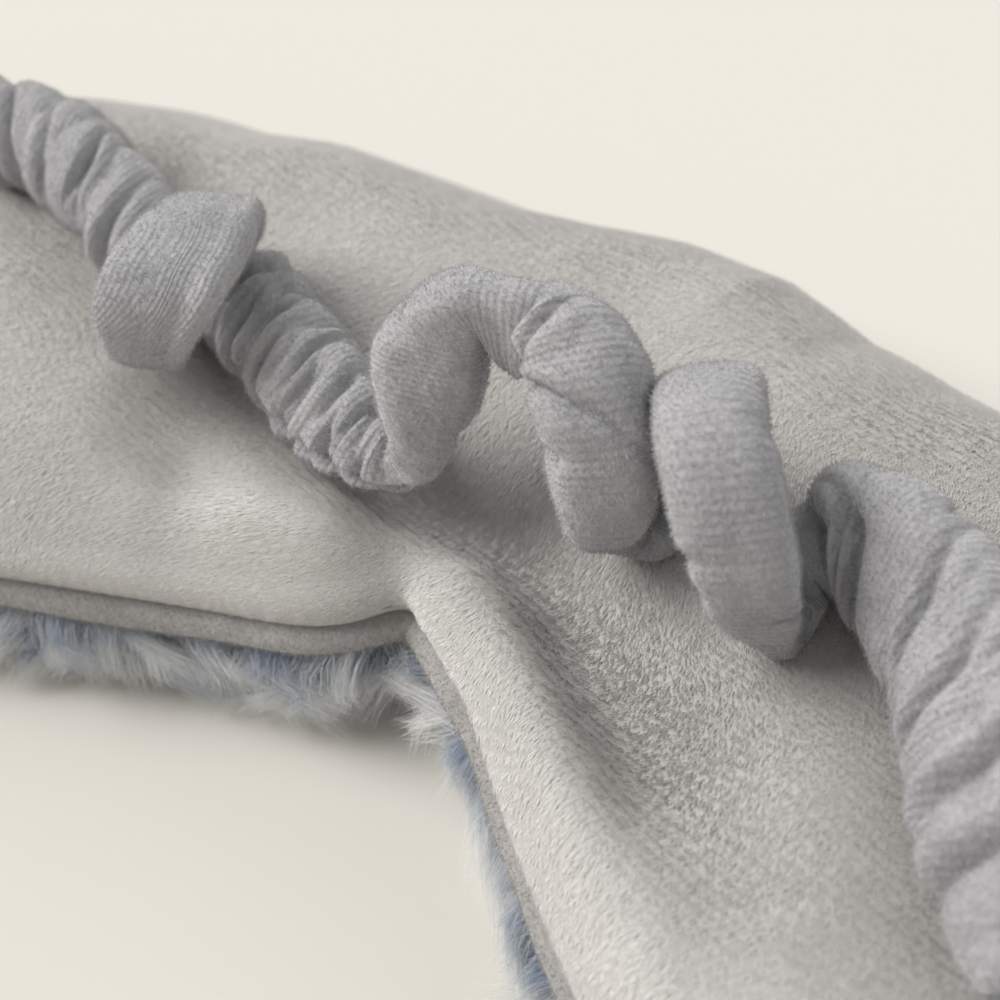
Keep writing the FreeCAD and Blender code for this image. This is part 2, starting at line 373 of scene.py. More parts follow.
def laid_down(r):
    """How the soft edge lies: the notch corner pulled to one side, the near left edge sagging, the far edge drawn in."""
    x, y = r[:, 0], r[:, 1]
    g1 = np.exp(-((x - 0.5) ** 2 + (y + 9.5) ** 2) / (2 * 5.0 ** 2))
    g2 = np.exp(-((x + 9.0) ** 2 + (y + 16.5) ** 2) / (2 * 6.0 ** 2))
    g3 = smooth01((y - 4.0) / 26.0) * (1 - 0.75 * smooth01((x + 12) / 34.0))
    return r + np.stack([-2.6 * g1 + 1.3 * g2, -2.0 * g1 - 1.1 * g2 - 3.0 * g3], 1)


def relaid(r):
    r = laid_down(r)
    closed = np.vstack([r, r[:1]])
    d = np.linalg.norm(np.diff(closed, axis=0), axis=1)
    cum = np.concatenate([[0], np.cumsum(d)])
    w = np.linspace(0, cum[-1], len(r), endpoint=False)
    out = np.stack([np.interp(w, cum, closed[:, 0]), np.interp(w, cum, closed[:, 1])], 1)
    tan = unit(np.roll(out, -2, 0) - np.roll(out, 2, 0))
    return out, np.stack([-tan[:, 1], tan[:, 0]], 1), cum[-1]


RING, RING_N, RING_LEN = relaid(RING)


def edge_distance(xy):
    out = np.zeros(len(xy))
    idx = np.zeros(len(xy), int)
    for a in range(0, len(xy), 4000):
        q = xy[a:a + 4000]
        d2 = ((q[:, None, :] - RING[None, ::2, :]) ** 2).sum(-1)
        i = d2.argmin(1)
        out[a:a + 4000] = np.sqrt(d2[np.arange(len(q)), i])
        idx[a:a + 4000] = i * 2
    return out, idx


def gauss_line(xy, line, sigma):
    """Bell across a polyline of (x, y, strength), fading at its ends."""
    line = np.asarray(line, float)
    best = np.zeros(len(xy))
    for a, b in zip(line[:-1], line[1:]):
        ab = b[:2] - a[:2]
        t = np.clip(((xy - a[:2]) @ ab) / (ab @ ab), 0, 1)
        d = np.linalg.norm(xy - (a[:2] + t[:, None] * ab), axis=1)
        s = a[2] + (b[2] - a[2]) * t
        best = np.maximum(best, s * np.exp(-d * d / (2 * sigma * sigma)))
    return best


def blob(xy, x, y, sx, sy, rot=0.0):
    c, s = math.cos(rot), math.sin(rot)
    dx, dy = xy[:, 0] - x, xy[:, 1] - y
    u, v = dx * c + dy * s, -dx * s + dy * c
    return np.exp(-0.5 * ((u / sx) ** 2 + (v / sy) ** 2))


STRAP_LINE = [(-108, 0, .6), (-90, 1, .8), (-73, 1, 1), (-55, 1.6, 1), (-44, -3, 1), (-31, -6, 1), (-20, -4, 1), (-9, -4, 1),
              (0, 0, 1), (10, 0, 1), (24, 1, 1), (36, 4, 1), (45, -1, 1), (52, -9, 1), (66, -12, 1), (88, -7, .8),
              (108, 0, .6)]
# soft folds of the front: a rolled ridge round the nose notch and the hollow behind it
RIDGE = [(-24, -21.0, .3), (-16, -16.6, .7), (-10, -13.8, .9), (-4, -11.0, .9), (1.0, -9.6, 1), (5.2, -10.4, 1), (10.6, -13.6, 1.1),
         (18.6, -18.8, 1.0), (27.5, -24.0, .7), (37, -29.5, .4), (50, -36.5, .2)]
HOLLOW = [(-14, -3.0, .3), (-7, -3.4, .75), (1, -3.6, 1), (6, -5.0, 1.05), (11.5, -7.4, 1.05), (18.2, -10.6, .95), (25.5, -13.6, .75), (34, -17.5, .35)]
HOLLOW_L = [(-30, -12, .4), (-24, -17.0, .9), (-20, -21.5, .7)]


FAR_X = np.array([-110, -90, -80, -70, -60, -50, -40, -30, -20, -10, 0, 10, 20, 30, 40, 60, 110.0])
FAR_Z = np.array([-4, -6, -2.65, -0.8, -0.9, 1.3, 0.8, 0.0, 1.75, 4.8, 5.5, 0.7, 1.3, 4.6, 2.5, 1.0, 0.0])


def far_lift(x):
    """How the far edge rises and dips along its length."""
    return np.interp(x, FAR_X, FAR_Z)


def seam_height(xy):
    x, y = xy[:, 0], xy[:, 1]
    far = smooth01((y - 6.0) / 24.0)
    return 14.2 + 2.2 * np.exp(-((x + 2) ** 2 / (2 * 10.0 ** 2) + (y + 12.0) ** 2 / (2 * 8.0 ** 2))) \
        - 0.5 * np.exp(-((x + 20) ** 2 / (2 * 10.0 ** 2) + (y + 24.0) ** 2 / (2 * 8.0 ** 2))) \
        + 0.5 * noise3(np.stack([x, y, 0 * x], 1), 26.0, 1.0) - 2.0 * far + 0.35 * far * far_lift(x)


def crown(xy):
    """Height the padding reaches away from the seam."""
    p3 = np.stack([xy[:, 0], xy[:, 1], 0 * xy[:, 0]], 1)
    z = np.full(len(xy), 24.6)
    z += 1.5 * blob(xy, -60, -14, 22, 15) + 1.6 * blob(xy, 58, -17, 22, 15)
    z += 1.3 * blob(xy, -42, 22, 26, 9, -0.25) + 1.5 * blob(xy, 42, 24, 26, 9, 0.2)
    z += 0.8 * blob(xy, 8, 26, 12, 9) - 2.2 * blob(xy, -3, 44, 8, 10) - 0.8 * blob(xy, 24, 42, 6, 6)
    z -= 2.6 * gauss_line(xy, STRAP_LINE, 7.0)
    z += 4.2 * gauss_line(xy, RIDGE, 3.0)
    z -= 5.0 * gauss_line(xy, HOLLOW, 4.7)
    z -= 1.8 * gauss_line(xy, HOLLOW_L, 3.4)
    z += 0.55 * noise3(p3, 19.0, 2.0) + 0.28 * noise3(p3, 8.5, 3.0) + 0.10 * noise3(p3, 4.0, 4.0)
    return z


def front_height(xy, d, near_y):
    zs = seam_height(xy)
    far = smooth01((near_y - 2.0) / 20.0)
    t = np.clip(d / (15.0 + 9.0 * far), 0, 1) ** (0.72 + 0.16 * far)
    s = 1 - (1 - t) ** (2.7 - 0.5 * far)
    lift = far * far_lift(xy[:, 0]) * np.exp(-(d / 15.0) ** 2) * s ** 0.5
    return zs + (crown(xy) - zs) * s + lift


# ---------------------------------------------------------------------
# plush front, one sheet with its turned-down edge
# ---------------------------------------------------------------------
NU, NV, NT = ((521, 150, 7))
order = np.argsort(RING[:, 0])
ir, il = RING[:, 0].argmax(), RING[:, 0].argmin()
low = np.vstack([RING[il:], RING[:ir + 1]])
high = RING[ir:il + 1][::-1]
u = np.sin(np.linspace(-1, 1, NU) * math.pi / 2 * 0.9995)
X = u * min(abs(RING[il, 0]), RING[ir, 0])
ylo = np.interp(X, low[:, 0], low[:, 1])
yhi = np.interp(X, high[:, 0], high[:, 1])
v = np.linspace(0, 1, NV)
v = 0.45 * v + 0.55 * (0.5 - 0.5 * np.cos(math.pi * v))
G = np.zeros((NV, NU, 2))
G[..., 0] = X[None, :]
G[..., 1] = ylo[None, :] + (yhi - ylo)[None, :] * v[:, None]
flat = G.reshape(-1, 2)
dist, near = edge_distance(flat)
dist = dist.reshape(NV, NU)
dist[0] = 0
dist[-1] = 0
dist[:, 0] = 0
dist[:, -1] = 0
Z = front_height(flat, dist.ravel(), RING[near, 1]).reshape(NV, NU)
P = np.concatenate([G, Z[..., None]], -1)
# the padding swells out over the binding
nn = RING_N[near].reshape(NV, NU, 2)
rise = np.clip((Z - seam_height(flat).reshape(NV, NU)) / 5.0, 0, 1)
swell = 1.25 * np.exp(-(dist / 2.4) ** 2) * np.sin(np.clip(rise, 0, 1) * math.pi * 0.8) ** 1.0
P[..., :2] -= nn * swell[..., None]


def tuck(row):
    """Rows that turn from the front's edge in and down to the seam groove."""
    base = P[row]
    n = np.concatenate([nn[row], np.zeros((NU, 1))], -1)
    out = []
    for k in range(1, NT + 1):
        a = k / NT
        q = base.copy()
        q += n * (1.9 * a ** 1.4)
        q[:, 2] -= 1.25 * math.sin(a * math.pi / 2)
        out.append(q)
    return np.stack(out)


P = np.concatenate([tuck(0)[::-1], P, tuck(-1)], 0)
RN = P.shape[0]
FRONT_P = P
FRONT_D = np.concatenate([np.zeros((NT, NU)), dist, np.zeros((NT, NU))], 0)




def ring_piece(name, sections, mats, mat_index=None, uv=None):
    """Closed band from (n, k, 3) sections round the outline, closed both ways."""
    n, k, _ = sections.shape
    i = np.arange(n)[:, None]
    j = np.arange(k)[None, :]
    i2, j2 = (i + 1) % n, (j + 1) % k
    q = np.stack([i * k + j, i2 * k + j, i2 * k + j2, i * k + j2], -1).reshape(-1, 4)
    return make_mesh(name, sections.reshape(-1, 3), quads=q, mats=mats, mat_index=mat_index, uv=uv)


def volume_sign(verts, quads):
    t = verts[quads]
    a = np.einsum("ij,ij->i", t[:, 0], np.cross(t[:, 1], t[:, 2])).sum()
    b = np.einsum("ij,ij->i", t[:, 0], np.cross(t[:, 2], t[:, 3])).sum()
    return a + b


def outward(verts, quads):
    return quads if volume_sign(verts, quads) > 0 else quads[:, ::-1]


def body_piece(ob, nodes=()):
    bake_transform(ob)
    if nodes:
        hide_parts(*nodes)
    return ob


# --------------------------------------------------------------- front panel
# ground under the short pile, a little darker than the fibres as painted shade between them
PLUSH_SHADE_GROUND = cloth_mat("plush_ground", (174, 172, 169), (190, 188, 185), scale=1900, bump=0.3, dist=0.0003, rough=0.9,
                  sheen=0.5, patch=55)
n_front = P.reshape(-1, 3)
lid = P.copy()
lid[..., 2] = np.minimum(lid[..., 2], seam_height(lid[..., :2].reshape(-1, 2)).reshape(lid.shape[:2]) - 1.3)
quads_a = grid_faces(RN, NU)
off = len(n_front)
# the lid shares the front's rim
rim = np.zeros((RN, NU), bool)
rim[0] = rim[-1] = True
rim[:, 0] = rim[:, -1] = True
index_b = np.where(rim.ravel(), np.arange(off), off + np.arange(off))
quads_b = index_b[quads_a[:, ::-1]]
allv = np.vstack([n_front, lid.reshape(-1, 3)])
q = np.vstack([quads_a, quads_b])
used = np.zeros(len(allv), bool)
used[q.ravel()] = True
remap = np.cumsum(used) - 1
allv, q = allv[used], remap[q]
q = outward(allv, q)
front = make_mesh("front_panel", allv, quads=q, mats=[PLUSH_SHADE_GROUND])
body_piece(front, ("front_panel_right", "front_panel_left", "inner_pouch_right", "inner_pouch_left",
                            "grain_fill_right", "grain_fill_left"))

# --------------------------------------------------------------- binding
VEL_BIND = cloth_mat("velour_binding", (140, 137, 136), (176, 173, 172), scale=2600, bump=0.45, dist=0.0004,
                     rough=0.85, sheen=0.7, patch=90)
NR = 1200
step = len(RING) // NR
rb, nb = RING[::step][:NR], RING_N[::step][:NR]
zb = seam_height(rb)
p3 = np.stack([rb[:, 0], rb[:, 1], zb], 1)
hb = 3.6 + 0.25 * noise3(p3, 12.0, 9.0)
wb = 0.22 * noise3(p3, 6.0, 8.0)
K = 30
sec = np.zeros((NR, K, 3))
for j in range(K):
    if j < 24:
        a = math.pi * (j / 23)
        inset = 2.3 - 3.7 * abs(math.sin(a * 0.94 + 0.03)) ** 0.66
        zz = -hb / 2 * (1 - math.cos(a))
    else:
        f = (j - 23) / (K - 23)
        inset = 2.5 + 0.5 * math.sin(f * math.pi)
        zz = -hb * (1 - f)
    sec[:, j, :2] = rb + nb * (inset + wb)[:, None] if np.ndim(inset + wb) else rb
    sec[:, j, 2] = zb - 0.25 + zz
i = np.arange(NR)[:, None]
j = np.arange(K)[None, :]
qb = np.stack([i * K + j, ((i + 1) % NR) * K + j, ((i + 1) % NR) * K + (j + 1) % K, i * K + (j + 1) % K], -1).reshape(-1, 4)
vb = sec.reshape(-1, 3)
binding = make_mesh("edge_binding", vb, quads=outward(vb, qb), mats=[VEL_BIND])
body_piece(binding, ("edge_binding_right", "edge_binding_left"))

BN_MATS = [fibre_mat("binding_nap_%d" % k, c, rough=0.7, sheen=0.4, trans=0.25)
           for k, c in enumerate([(150, 148, 147), (170, 168, 167), (190, 188, 187)])]


def binding_nap(count):
    G3 = sec[:, :24]
    n3 = np.stack([-nb[:, 0], -nb[:, 1], 0 * nb[:, 0]], 1)
    i = rng.integers(0, NR, count)
    j = rng.integers(1, 22, count)
    f, h = rng.random((count, 1)), rng.random((count, 1))
    i2 = (i + 1) % NR
    root = (G3[i, j] * (1 - f) + G3[i2, j] * f) * (1 - h) + (G3[i, j + 1] * (1 - f) + G3[i2, j + 1] * f) * h
    mid = (G3[i, 0] + G3[i, 23]) / 2
    nrm = unit(root - mid)
    clot = noise3(root, 0.6, 63.0)
    direc = unit(nrm + np.array([0, 0, -0.4]) + rng.normal(0, 0.35, (count, 3)))
    L = (0.38 + 0.08 * clot + 0.08 * rng.normal(0, 1, count)).clip(0.15, 0.8)
    tint = np.clip(np.round(1 + 0.9 * clot + rng.normal(0, 0.4, count)), 0, 2).astype(int)
    v, t, per = ribbons(root - nrm * 0.05, direc, nrm, L, rng.uniform(0.05, 0.08, count), nrm * 0.0, segs=1, roll=1.4)
    return v, t, np.repeat(tint, per)


bv, bt, bm = binding_nap(90000)
bnap = make_mesh("binding_nap", bv, tris=bt, mats=BN_MATS, mat_index=bm)
body_piece(bnap)

# --------------------------------------------------------------- stitches sunk in the groove over the binding
THREAD = cloth_mat("thread", (96, 92, 91), (128, 124, 121), scale=3000, bump=0.3, dist=0.0002, rough=0.7, sheen=0.2,
                   patch=90)
pitch = 2.5
ns = int(RING_LEN / pitch)
sv, sq = [], []
for k in range(ns):
    c0 = k / ns * len(RING)
    ii = (c0 + np.linspace(0, 1.7 / RING_LEN * len(RING), 6)).astype(int) % len(RING)
    c = RING[ii]
    nrm = RING_N[ii]
    z = seam_height(c) - 0.35 + 0.12 * np.sin(np.linspace(0, math.pi, 6))
    base = len(sv) * 8
    for m in range(6):
        rad = 0.16 * (0.45 + 0.55 * math.sin(math.pi * (m + 0.5) / 6))
        for a in range(8):
            th = a / 8 * 2 * math.pi
            off2 = nrm[m] * (0.75 + rad * math.cos(th))
            sv.append((c[m, 0] + off2[0], c[m, 1] + off2[1], z[m] + rad * math.sin(th)))
    b0 = k * 48
    for m in range(5):
        for a in range(8):
            a2 = (a + 1) % 8
            sq.append((b0 + m * 8 + a, b0 + m * 8 + a2, b0 + m * 8 + 8 + a2, b0 + m * 8 + 8 + a))
    sq.append((b0 + 0, b0 + 7, b0 + 6, b0 + 5))
    sq.append((b0 + 0, b0 + 5, b0 + 4, b0 + 3))
    sq.append((b0 + 0, b0 + 3, b0 + 2, b0 + 1))
    e = b0 + 40
    sq.append((e + 0, e + 1, e + 2, e + 3))
    sq.append((e + 0, e + 3, e + 4, e + 5))
    sq.append((e + 0, e + 5, e + 6, e + 7))
sv, sq = np.array(sv), np.array(sq)
stitches = make_mesh("binding_stitches", sv, quads=outward(sv, sq), mats=[THREAD])
body_piece(stitches, ("binding_stitch_right", "binding_stitch_left"))

# --------------------------------------------------------------- fur ground: the padded face under the long pile, coloured darker than the strands as painted shade
FUR_SHADE_GROUND = cloth_mat("pile_ground", (122, 128, 140), (170, 174, 180), scale=700, bump=0.5, dist=0.0008, rough=0.95,
                       sheen=0.3, patch=70)
GN, GR = 401, 110
u2 = np.sin(np.linspace(-1, 1, GN) * math.pi / 2 * 0.9995)
Xg = u2 * min(abs(RING[il, 0]), RING[ir, 0])
yl = np.interp(Xg, low[:, 0], low[:, 1])
yh = np.interp(Xg, high[:, 0], high[:, 1])
vv = np.linspace(0, 1, GR)
vv = 0.45 * vv + 0.55 * (0.5 - 0.5 * np.cos(math.pi * vv))
H = np.zeros((GR, GN, 2))
H[..., 0] = Xg[None]
H[..., 1] = yl[None] + (yh - yl)[None] * vv[:, None]
hf = H.reshape(-1, 2)
hd, hn = edge_distance(hf)
hd = hd.reshape(GR, GN)
hd[0] = hd[-1] = 0
hd[:, 0] = hd[:, -1] = 0
hnn = RING_N[hn].reshape(GR, GN, 2)


def under_height(xy, d):
    """The face side, rounded up towards the binding."""
    zs = seam_height(xy)
    p3 = np.stack([xy[:, 0], xy[:, 1], 0 * xy[:, 0]], 1)
    low_z = 3.3 + 0.5 * noise3(p3, 18.0, 5.0)
    t = np.clip(d / 5.0, 0, 1)
    return low_z + (zs - 4.6 - low_z) * (1 - np.sqrt(1 - (1 - t) ** 2))


uz = under_height(hf, hd.ravel()).reshape(GR, GN)
under = np.concatenate([H + hnn * 1.3 * np.exp(-hd / 3.0)[..., None], uz[..., None]], -1)
top = under.copy()
top[..., 2] = np.maximum(top[..., 2], seam_height(hf).reshape(GR, GN) - 3.0)
rim = np.zeros((GR, GN), bool)
rim[0] = rim[-1] = True
rim[:, 0] = rim[:, -1] = True
offg = GR * GN
idx = np.where(rim.ravel(), np.arange(offg), offg + np.arange(offg))
qa = grid_faces(GR, GN)
qq = np.vstack([qa[:, ::-1], idx[qa]])
vv2 = np.vstack([under.reshape(-1, 3), top.reshape(-1, 3)])
used = np.zeros(len(vv2), bool)
used[qq.ravel()] = True
remap = np.cumsum(used) - 1
vv2, qq = vv2[used], remap[qq]
face = make_mesh("face_panel", vv2, quads=outward(vv2, qq), mats=[FUR_SHADE_GROUND])
body_piece(face, ("face_panel_right", "face_panel_left"))

# --------------------------------------------------------------- long pile strands
FUR_COL = [(176, 187, 204), (210, 215, 222), (228, 230, 232), (242, 242, 241), (252, 251, 249)]
FUR_MATS = [fibre_mat("pile_%d" % k, c, rough=0.5, sheen=0.25, trans=0.55) for k, c in enumerate(FUR_COL)]


def fur_strands(root, direc, up, length, width, clump, curl, tint, segs=4):
    """Wavy tapering ribbons that draw together towards a shared tip."""
    n = len(root)
    side = unit(np.cross(direc, up) + 1e-6)
    roll = (rng.random(n) - 0.5) * 1.6
    side = unit(side * np.cos(roll)[:, None] + np.cross(direc, side) * np.sin(roll)[:, None])
    cols = []
    for k in range(segs + 1):
        t = k / segs
        c = root + direc * (length * t)[:, None]
        c = c + clump * (t ** 1.3)
        c = c + curl * math.sin(t * math.pi * 1.2)
        w = width * (1 - 0.8 * t ** 1.3)
        if k == segs:
            cols.append(c[:, None, :])
        else:
            cols.append(np.stack([c - side * (w / 2)[:, None], c + side * (w / 2)[:, None]], 1))
    v = np.concatenate(cols, 1)
    per = v.shape[1]
    t = []
    for k in range(segs - 1):
        i = 2 * k
        t += [[i, i + 1, i + 3], [i, i + 3, i + 2]]
    i = 2 * (segs - 1)
    t += [[i, i + 1, i + 2]]
    base = (np.arange(n) * per)[:, None, None]
    t = np.array(t)[None] + base
    # darker at the root, paler to the tip
    step_up = np.array([-1 if k < segs * 0.3 else (0 if k < segs * 0.75 else 1) for k in range(segs - 1) for _ in (0, 1)] + [1])
    return v.reshape(-1, 3), t.reshape(-1, 3), np.clip(tint[:, None] + step_up[None, :], 0, 4).ravel()


def floor_clamp(v, z=0.05):
    low_z = v[:, 2] < z
    v[low_z, 2] = z + 0.25 * np.abs(np.sin(v[low_z, 0] * 9.1 + v[low_z, 1] * 7.3))
    return v


def pile_skirt():
    V, T, M = [], [], []
    at = 0
    rows = [(3.5, 0.80, 7.6), (4.9, 0.75, 7.4), (6.4, 0.7, 7.0), (8.1, 0.62, 6.4), (9.8, 0.55, 5.8), (11.0, 0.45, 5.2)]
    per = 84
    for depth, out, ln in rows:
        n = int(RING_LEN / 2.7)
        at_s = (np.arange(n) + rng.random(n) * 0.9) / n * len(RING)
        ii = at_s.astype(int) % len(RING)
        r, nr = RING[ii], RING_N[ii]
        tan = np.stack([nr[:, 1], -nr[:, 0]], 1)
        zs = seam_height(r)
        p = np.stack([r[:, 0], r[:, 1], zs - depth], 1)
        sway = 1.25 * noise3(p, 15.0, 13.0) + 0.7 * noise3(p, 6.0, 14.0) + rng.normal(0, 0.22, n)
        lift = 0.45 * noise3(p, 8.0, 15.0)
        tone = 0.54 + 0.50 * noise3(p, 8.0, 12.0) + rng.normal(0, 0.12, n)
        k = np.repeat(np.arange(n), per)
        m = len(k)
        dd = depth + rng.normal(0, 0.55, m)
        zroot = np.maximum(zs[k] - dd, 1.3)
        inset = 1.1 + 0.25 * np.maximum(dd - 6.5, 0) ** 1.15
        along = rng.normal(0, 1.25, m)
        root = np.stack([r[k, 0] + nr[k, 0] * inset + tan[k, 0] * along,
                         r[k, 1] + nr[k, 1] * inset + tan[k, 1] * along, zroot], 1)
        d0 = np.stack([-nr[:, 0] * out + tan[:, 0] * sway, -nr[:, 1] * out + tan[:, 1] * sway,
                       -0.75 + lift], 1)
        d0 = unit(d0)
        direc = unit(d0[k] + rng.normal(0, 0.10, (m, 3)))
        L = ((ln + rng.normal(0, 0.8, n))[k] * (0.76 + 0.34 * rng.random(m)))
        tip_z = zroot + direc[:, 2] * L
        direc[:, 2] += np.clip((0.4 - tip_z) / L, 0, 2)
        cen = np.stack([r[:, 0] + nr[:, 0] * 1.1, r[:, 1] + nr[:, 1] * 1.1, np.maximum(zs - depth, 1.3)], 1)
        clump = (cen[k] - root) * 0.85
        sw = np.stack([tan[:, 0], tan[:, 1], 0 * zs], 1) * (rng.normal(0, 1.9, n) + 1.6 * noise3(p, 6.0, 16.0))[:, None] \
            + np.stack([-nr[:, 0], -nr[:, 1], 0.35 + 0 * zs], 1) * rng.normal(0.7, 0.7, n)[:, None]
        curl = sw[k] * (0.75 + 0.5 * rng.random((m, 1)))
        tint = np.clip(np.round(np.clip(tone[k] + rng.normal(0, 0.13, m), 0, 1) * 4), 0, 4).astype(int)
        up = np.stack([-nr[k, 0], -nr[k, 1], np.full(m, 0.6)], 1)
        v, t, mi = fur_strands(root, direc, up, L, rng.uniform(0.055, 0.085, m), clump, curl, tint)
        V.append(v)
        T.append(t + at)
        M.append(mi)
        at += len(v)
    return floor_clamp(np.vstack(V)), np.vstack(T), np.concatenate(M)


fv, ft, fm = pile_skirt()
skirt = make_mesh("long_pile_edge", fv, tris=ft, mats=FUR_MATS, mat_index=fm)
body_piece(skirt)


def pile_under():
    """Short flattened pile over the face side."""
    pts = []
    area_step = 2.4
    gx = np.arange(-104, 104, area_step)
    gy = np.arange(-46, 46, area_step)
    g = np.stack(np.meshgrid(gx, gy), -1).reshape(-1, 2)
    g = g + rng.uniform(-1, 1, g.shape)
    gy_lo = np.interp(g[:, 0], low[:, 0], low[:, 1])
    gy_hi = np.interp(g[:, 0], high[:, 0], high[:, 1])
    ok = (g[:, 1] > gy_lo + 2.5) & (g[:, 1] < gy_hi - 2.5)
    g = g[ok]
    d, nidx = edge_distance(g)
    g, d = g[d > 2.5], d[d > 2.5]
    m = 13
    n = len(g)
    ang = 0.9 * noise3(np.stack([g[:, 0], g[:, 1], 0 * d], 1), 26.0, 21.0) * math.pi - math.pi / 2 + rng.normal(0, 0.45, n)
    tone = 0.5 + 0.55 * noise3(np.stack([g[:, 0], g[:, 1], 0 * d], 1), 9.0, 12.0) + rng.normal(0, 0.14, n)
    cen = np.repeat(g, m, 0)
    off2 = rng.normal(0, 0.9, (n * m, 2))
    xy = cen + off2
    dd, _ = edge_distance(xy)
    z = under_height(xy, dd) + 0.2
    root = np.concatenate([xy, z[:, None]], 1)
    a = np.repeat(ang, m) + rng.normal(0, 0.25, n * m)
    L = rng.uniform(5.0, 7.5, n * m)
    drop = -(np.clip(z - 0.5, 0.5, 3.0)) / L
    direc = np.stack([np.cos(a), np.sin(a), drop], 1)
    direc = unit(direc)
    clump = np.concatenate([-off2 * 0.7, np.zeros((n * m, 1))], 1)
    curl = np.stack([-np.sin(a), np.cos(a), 0 * a], 1) * rng.normal(0, 0.6, (n * m, 1))
    tint = np.clip(np.round(np.clip(np.repeat(tone, m) + rng.normal(0, 0.15, n * m), 0, 1) * 4), 0, 4).astype(int)
    up = np.repeat(np.array([[0.0, 0.0, -1.0]]), n * m, 0)
    v, t, mi = fur_strands(root, direc, up, L, rng.uniform(0.12, 0.18, n * m), clump, curl, tint, segs=3)
    return floor_clamp(v), t, mi


gv, gt, gm = pile_under()
underfur = make_mesh("long_pile_face", gv, tris=gt, mats=FUR_MATS, mat_index=gm)
body_piece(underfur)

# --------------------------------------------------------------- short plush pile of the front
PL_COL = [(w + 1, w - 1, w - 3) for w in (176, 186, 194, 201, 207, 212, 217, 221, 225, 229, 232, 235, 238, 240, 242)]
PL_MATS = [fibre_mat("plush_%d" % k, c, rough=0.62, sheen=0.35, trans=0.2) for k, c in enumerate(PL_COL)]


def plush_pile(count):
    Pn = FRONT_P
    N = grid_normals(Pn)
    if N[RN // 2, NU // 2, 2] < 0:
        N = -N
    a = Pn[:-1, :-1]
    b = Pn[:-1, 1:]
    c = Pn[1:, :-1]
    area = np.linalg.norm(np.cross(b - a, c - a), axis=-1)
    area[:4] = 0
    area[-4:] = 0
    prob = (area / area.sum()).ravel()
    pick = rng.choice(len(prob), size=count, p=prob)
    i, j = pick // (NU - 1), pick % (NU - 1)
    fu, fv_ = rng.random(count)[:, None], rng.random(count)[:, None]
    q00, q01, q10, q11 = Pn[i, j], Pn[i, j + 1], Pn[i + 1, j], Pn[i + 1, j + 1]
    root = (q00 * (1 - fu) + q01 * fu) * (1 - fv_) + (q10 * (1 - fu) + q11 * fu) * fv_
    nrm = unit((N[i, j] * (1 - fu) + N[i, j + 1] * fu) * (1 - fv_) + (N[i + 1, j] * (1 - fu) + N[i + 1, j + 1] * fu) * fv_)
    edge = np.minimum(FRONT_D[i, j], 3.0) / 3.0
    ang = -math.pi / 2 + 0.8 * noise3(root, 34.0, 31.0) + 0.32 * noise3(root, 12.0, 32.0) + 0.12 * noise3(root, 4.0, 33.0)
    flow = np.stack([np.cos(ang), np.sin(ang), 0 * ang], 1)
    flow = unit(flow - nrm * (flow * nrm).sum(1, keepdims=True))
    comb = root * np.array([1.0, 0.30, 0.5]) + np.array([1.0, 0, 0]) * (1.1 * noise3(root, 9.0, 42.0) + 0.3 * root[:, 1])[:, None]
    tuft = noise3(comb, 0.42, 34.0)
    # knitted rows of the pile, clearest round the nose notch
    patch = smooth01(0.42 + 0.8 * noise3(root, 15.0, 39.0))
    notch = np.exp(-((root[:, 0] - 4) ** 2 / (2 * 17.0 ** 2) + (root[:, 1] + 17) ** 2 / (2 * 10.0 ** 2)))
    patch = np.clip(0.22 + 0.5 * patch + 0.6 * notch, 0, 1)
    across = root[:, 1] + 2.4 * noise3(root, 17.0, 40.0) + 0.35 * noise3(root, 3.5, 43.0) + 0.10 * root[:, 0]
    line = (0.5 + 0.5 * np.cos(2 * math.pi * across / 1.05)) ** 3 * np.clip(0.6 + 0.6 * noise3(root * np.array([0.4, 1, 1]), 0.8, 41.0), 0, 1.2)
    root[:, 1] -= 0.07 * np.sin(2 * math.pi * across / 1.05)
    lean = 0.95 + 0.3 * noise3(root, 14.0, 36.0) + 0.06 * tuft
    direc = unit(nrm * 1.0 + flow * (lean * 1.7)[:, None] + rng.normal(0, 0.08, (count, 3)))
    L = (0.86 + 0.05 * tuft - 0.30 * line * patch + 0.04 * rng.normal(0, 1, count)).clip(0.3, 1.3) * (0.55 + 0.45 * edge)
    # painted shade and painted highlight in the pile colour: darker in the hollow and over the right half, lighter
    # along the ridge, at the far rim and over the far left
    dark = 0.80 * gauss_line(root[:, :2], HOLLOW, 5.6) + 0.10 * smooth01((root[:, 0] - 6.0) / 14.0) \
        - 0.30 * gauss_line(root[:, :2], RIDGE, 4.5) \
        - 0.50 * np.exp(-FRONT_D[i, j] / 4.5) * (root[:, 1] > 0) \
        - 0.40 * smooth01((-38.0 - root[:, 0]) / 20.0) * smooth01((root[:, 1] + 8.0) / 15.0)
    tone = 0.70 + 0.05 * tuft - 0.24 * line * patch + 0.04 * noise3(root, 5.0, 37.0) + 0.10 * noise3(root, 24.0, 38.0) - dark
    tint = np.clip(np.round(tone * 14 + rng.uniform(-0.5, 0.5, count)), 0, 14).astype(int)
    v, t, per = ribbons(root - nrm * 0.1, direc, nrm, L, rng.uniform(0.085, 0.125, count), flow * 0.1, segs=1, roll=0.25)
    return v, t, np.repeat(tint, per)


pv, pt, pm = plush_pile(500000)
plush = make_mesh("front_plush_pile", pv, tris=pt, mats=PL_MATS, mat_index=pm)
body_piece(plush)


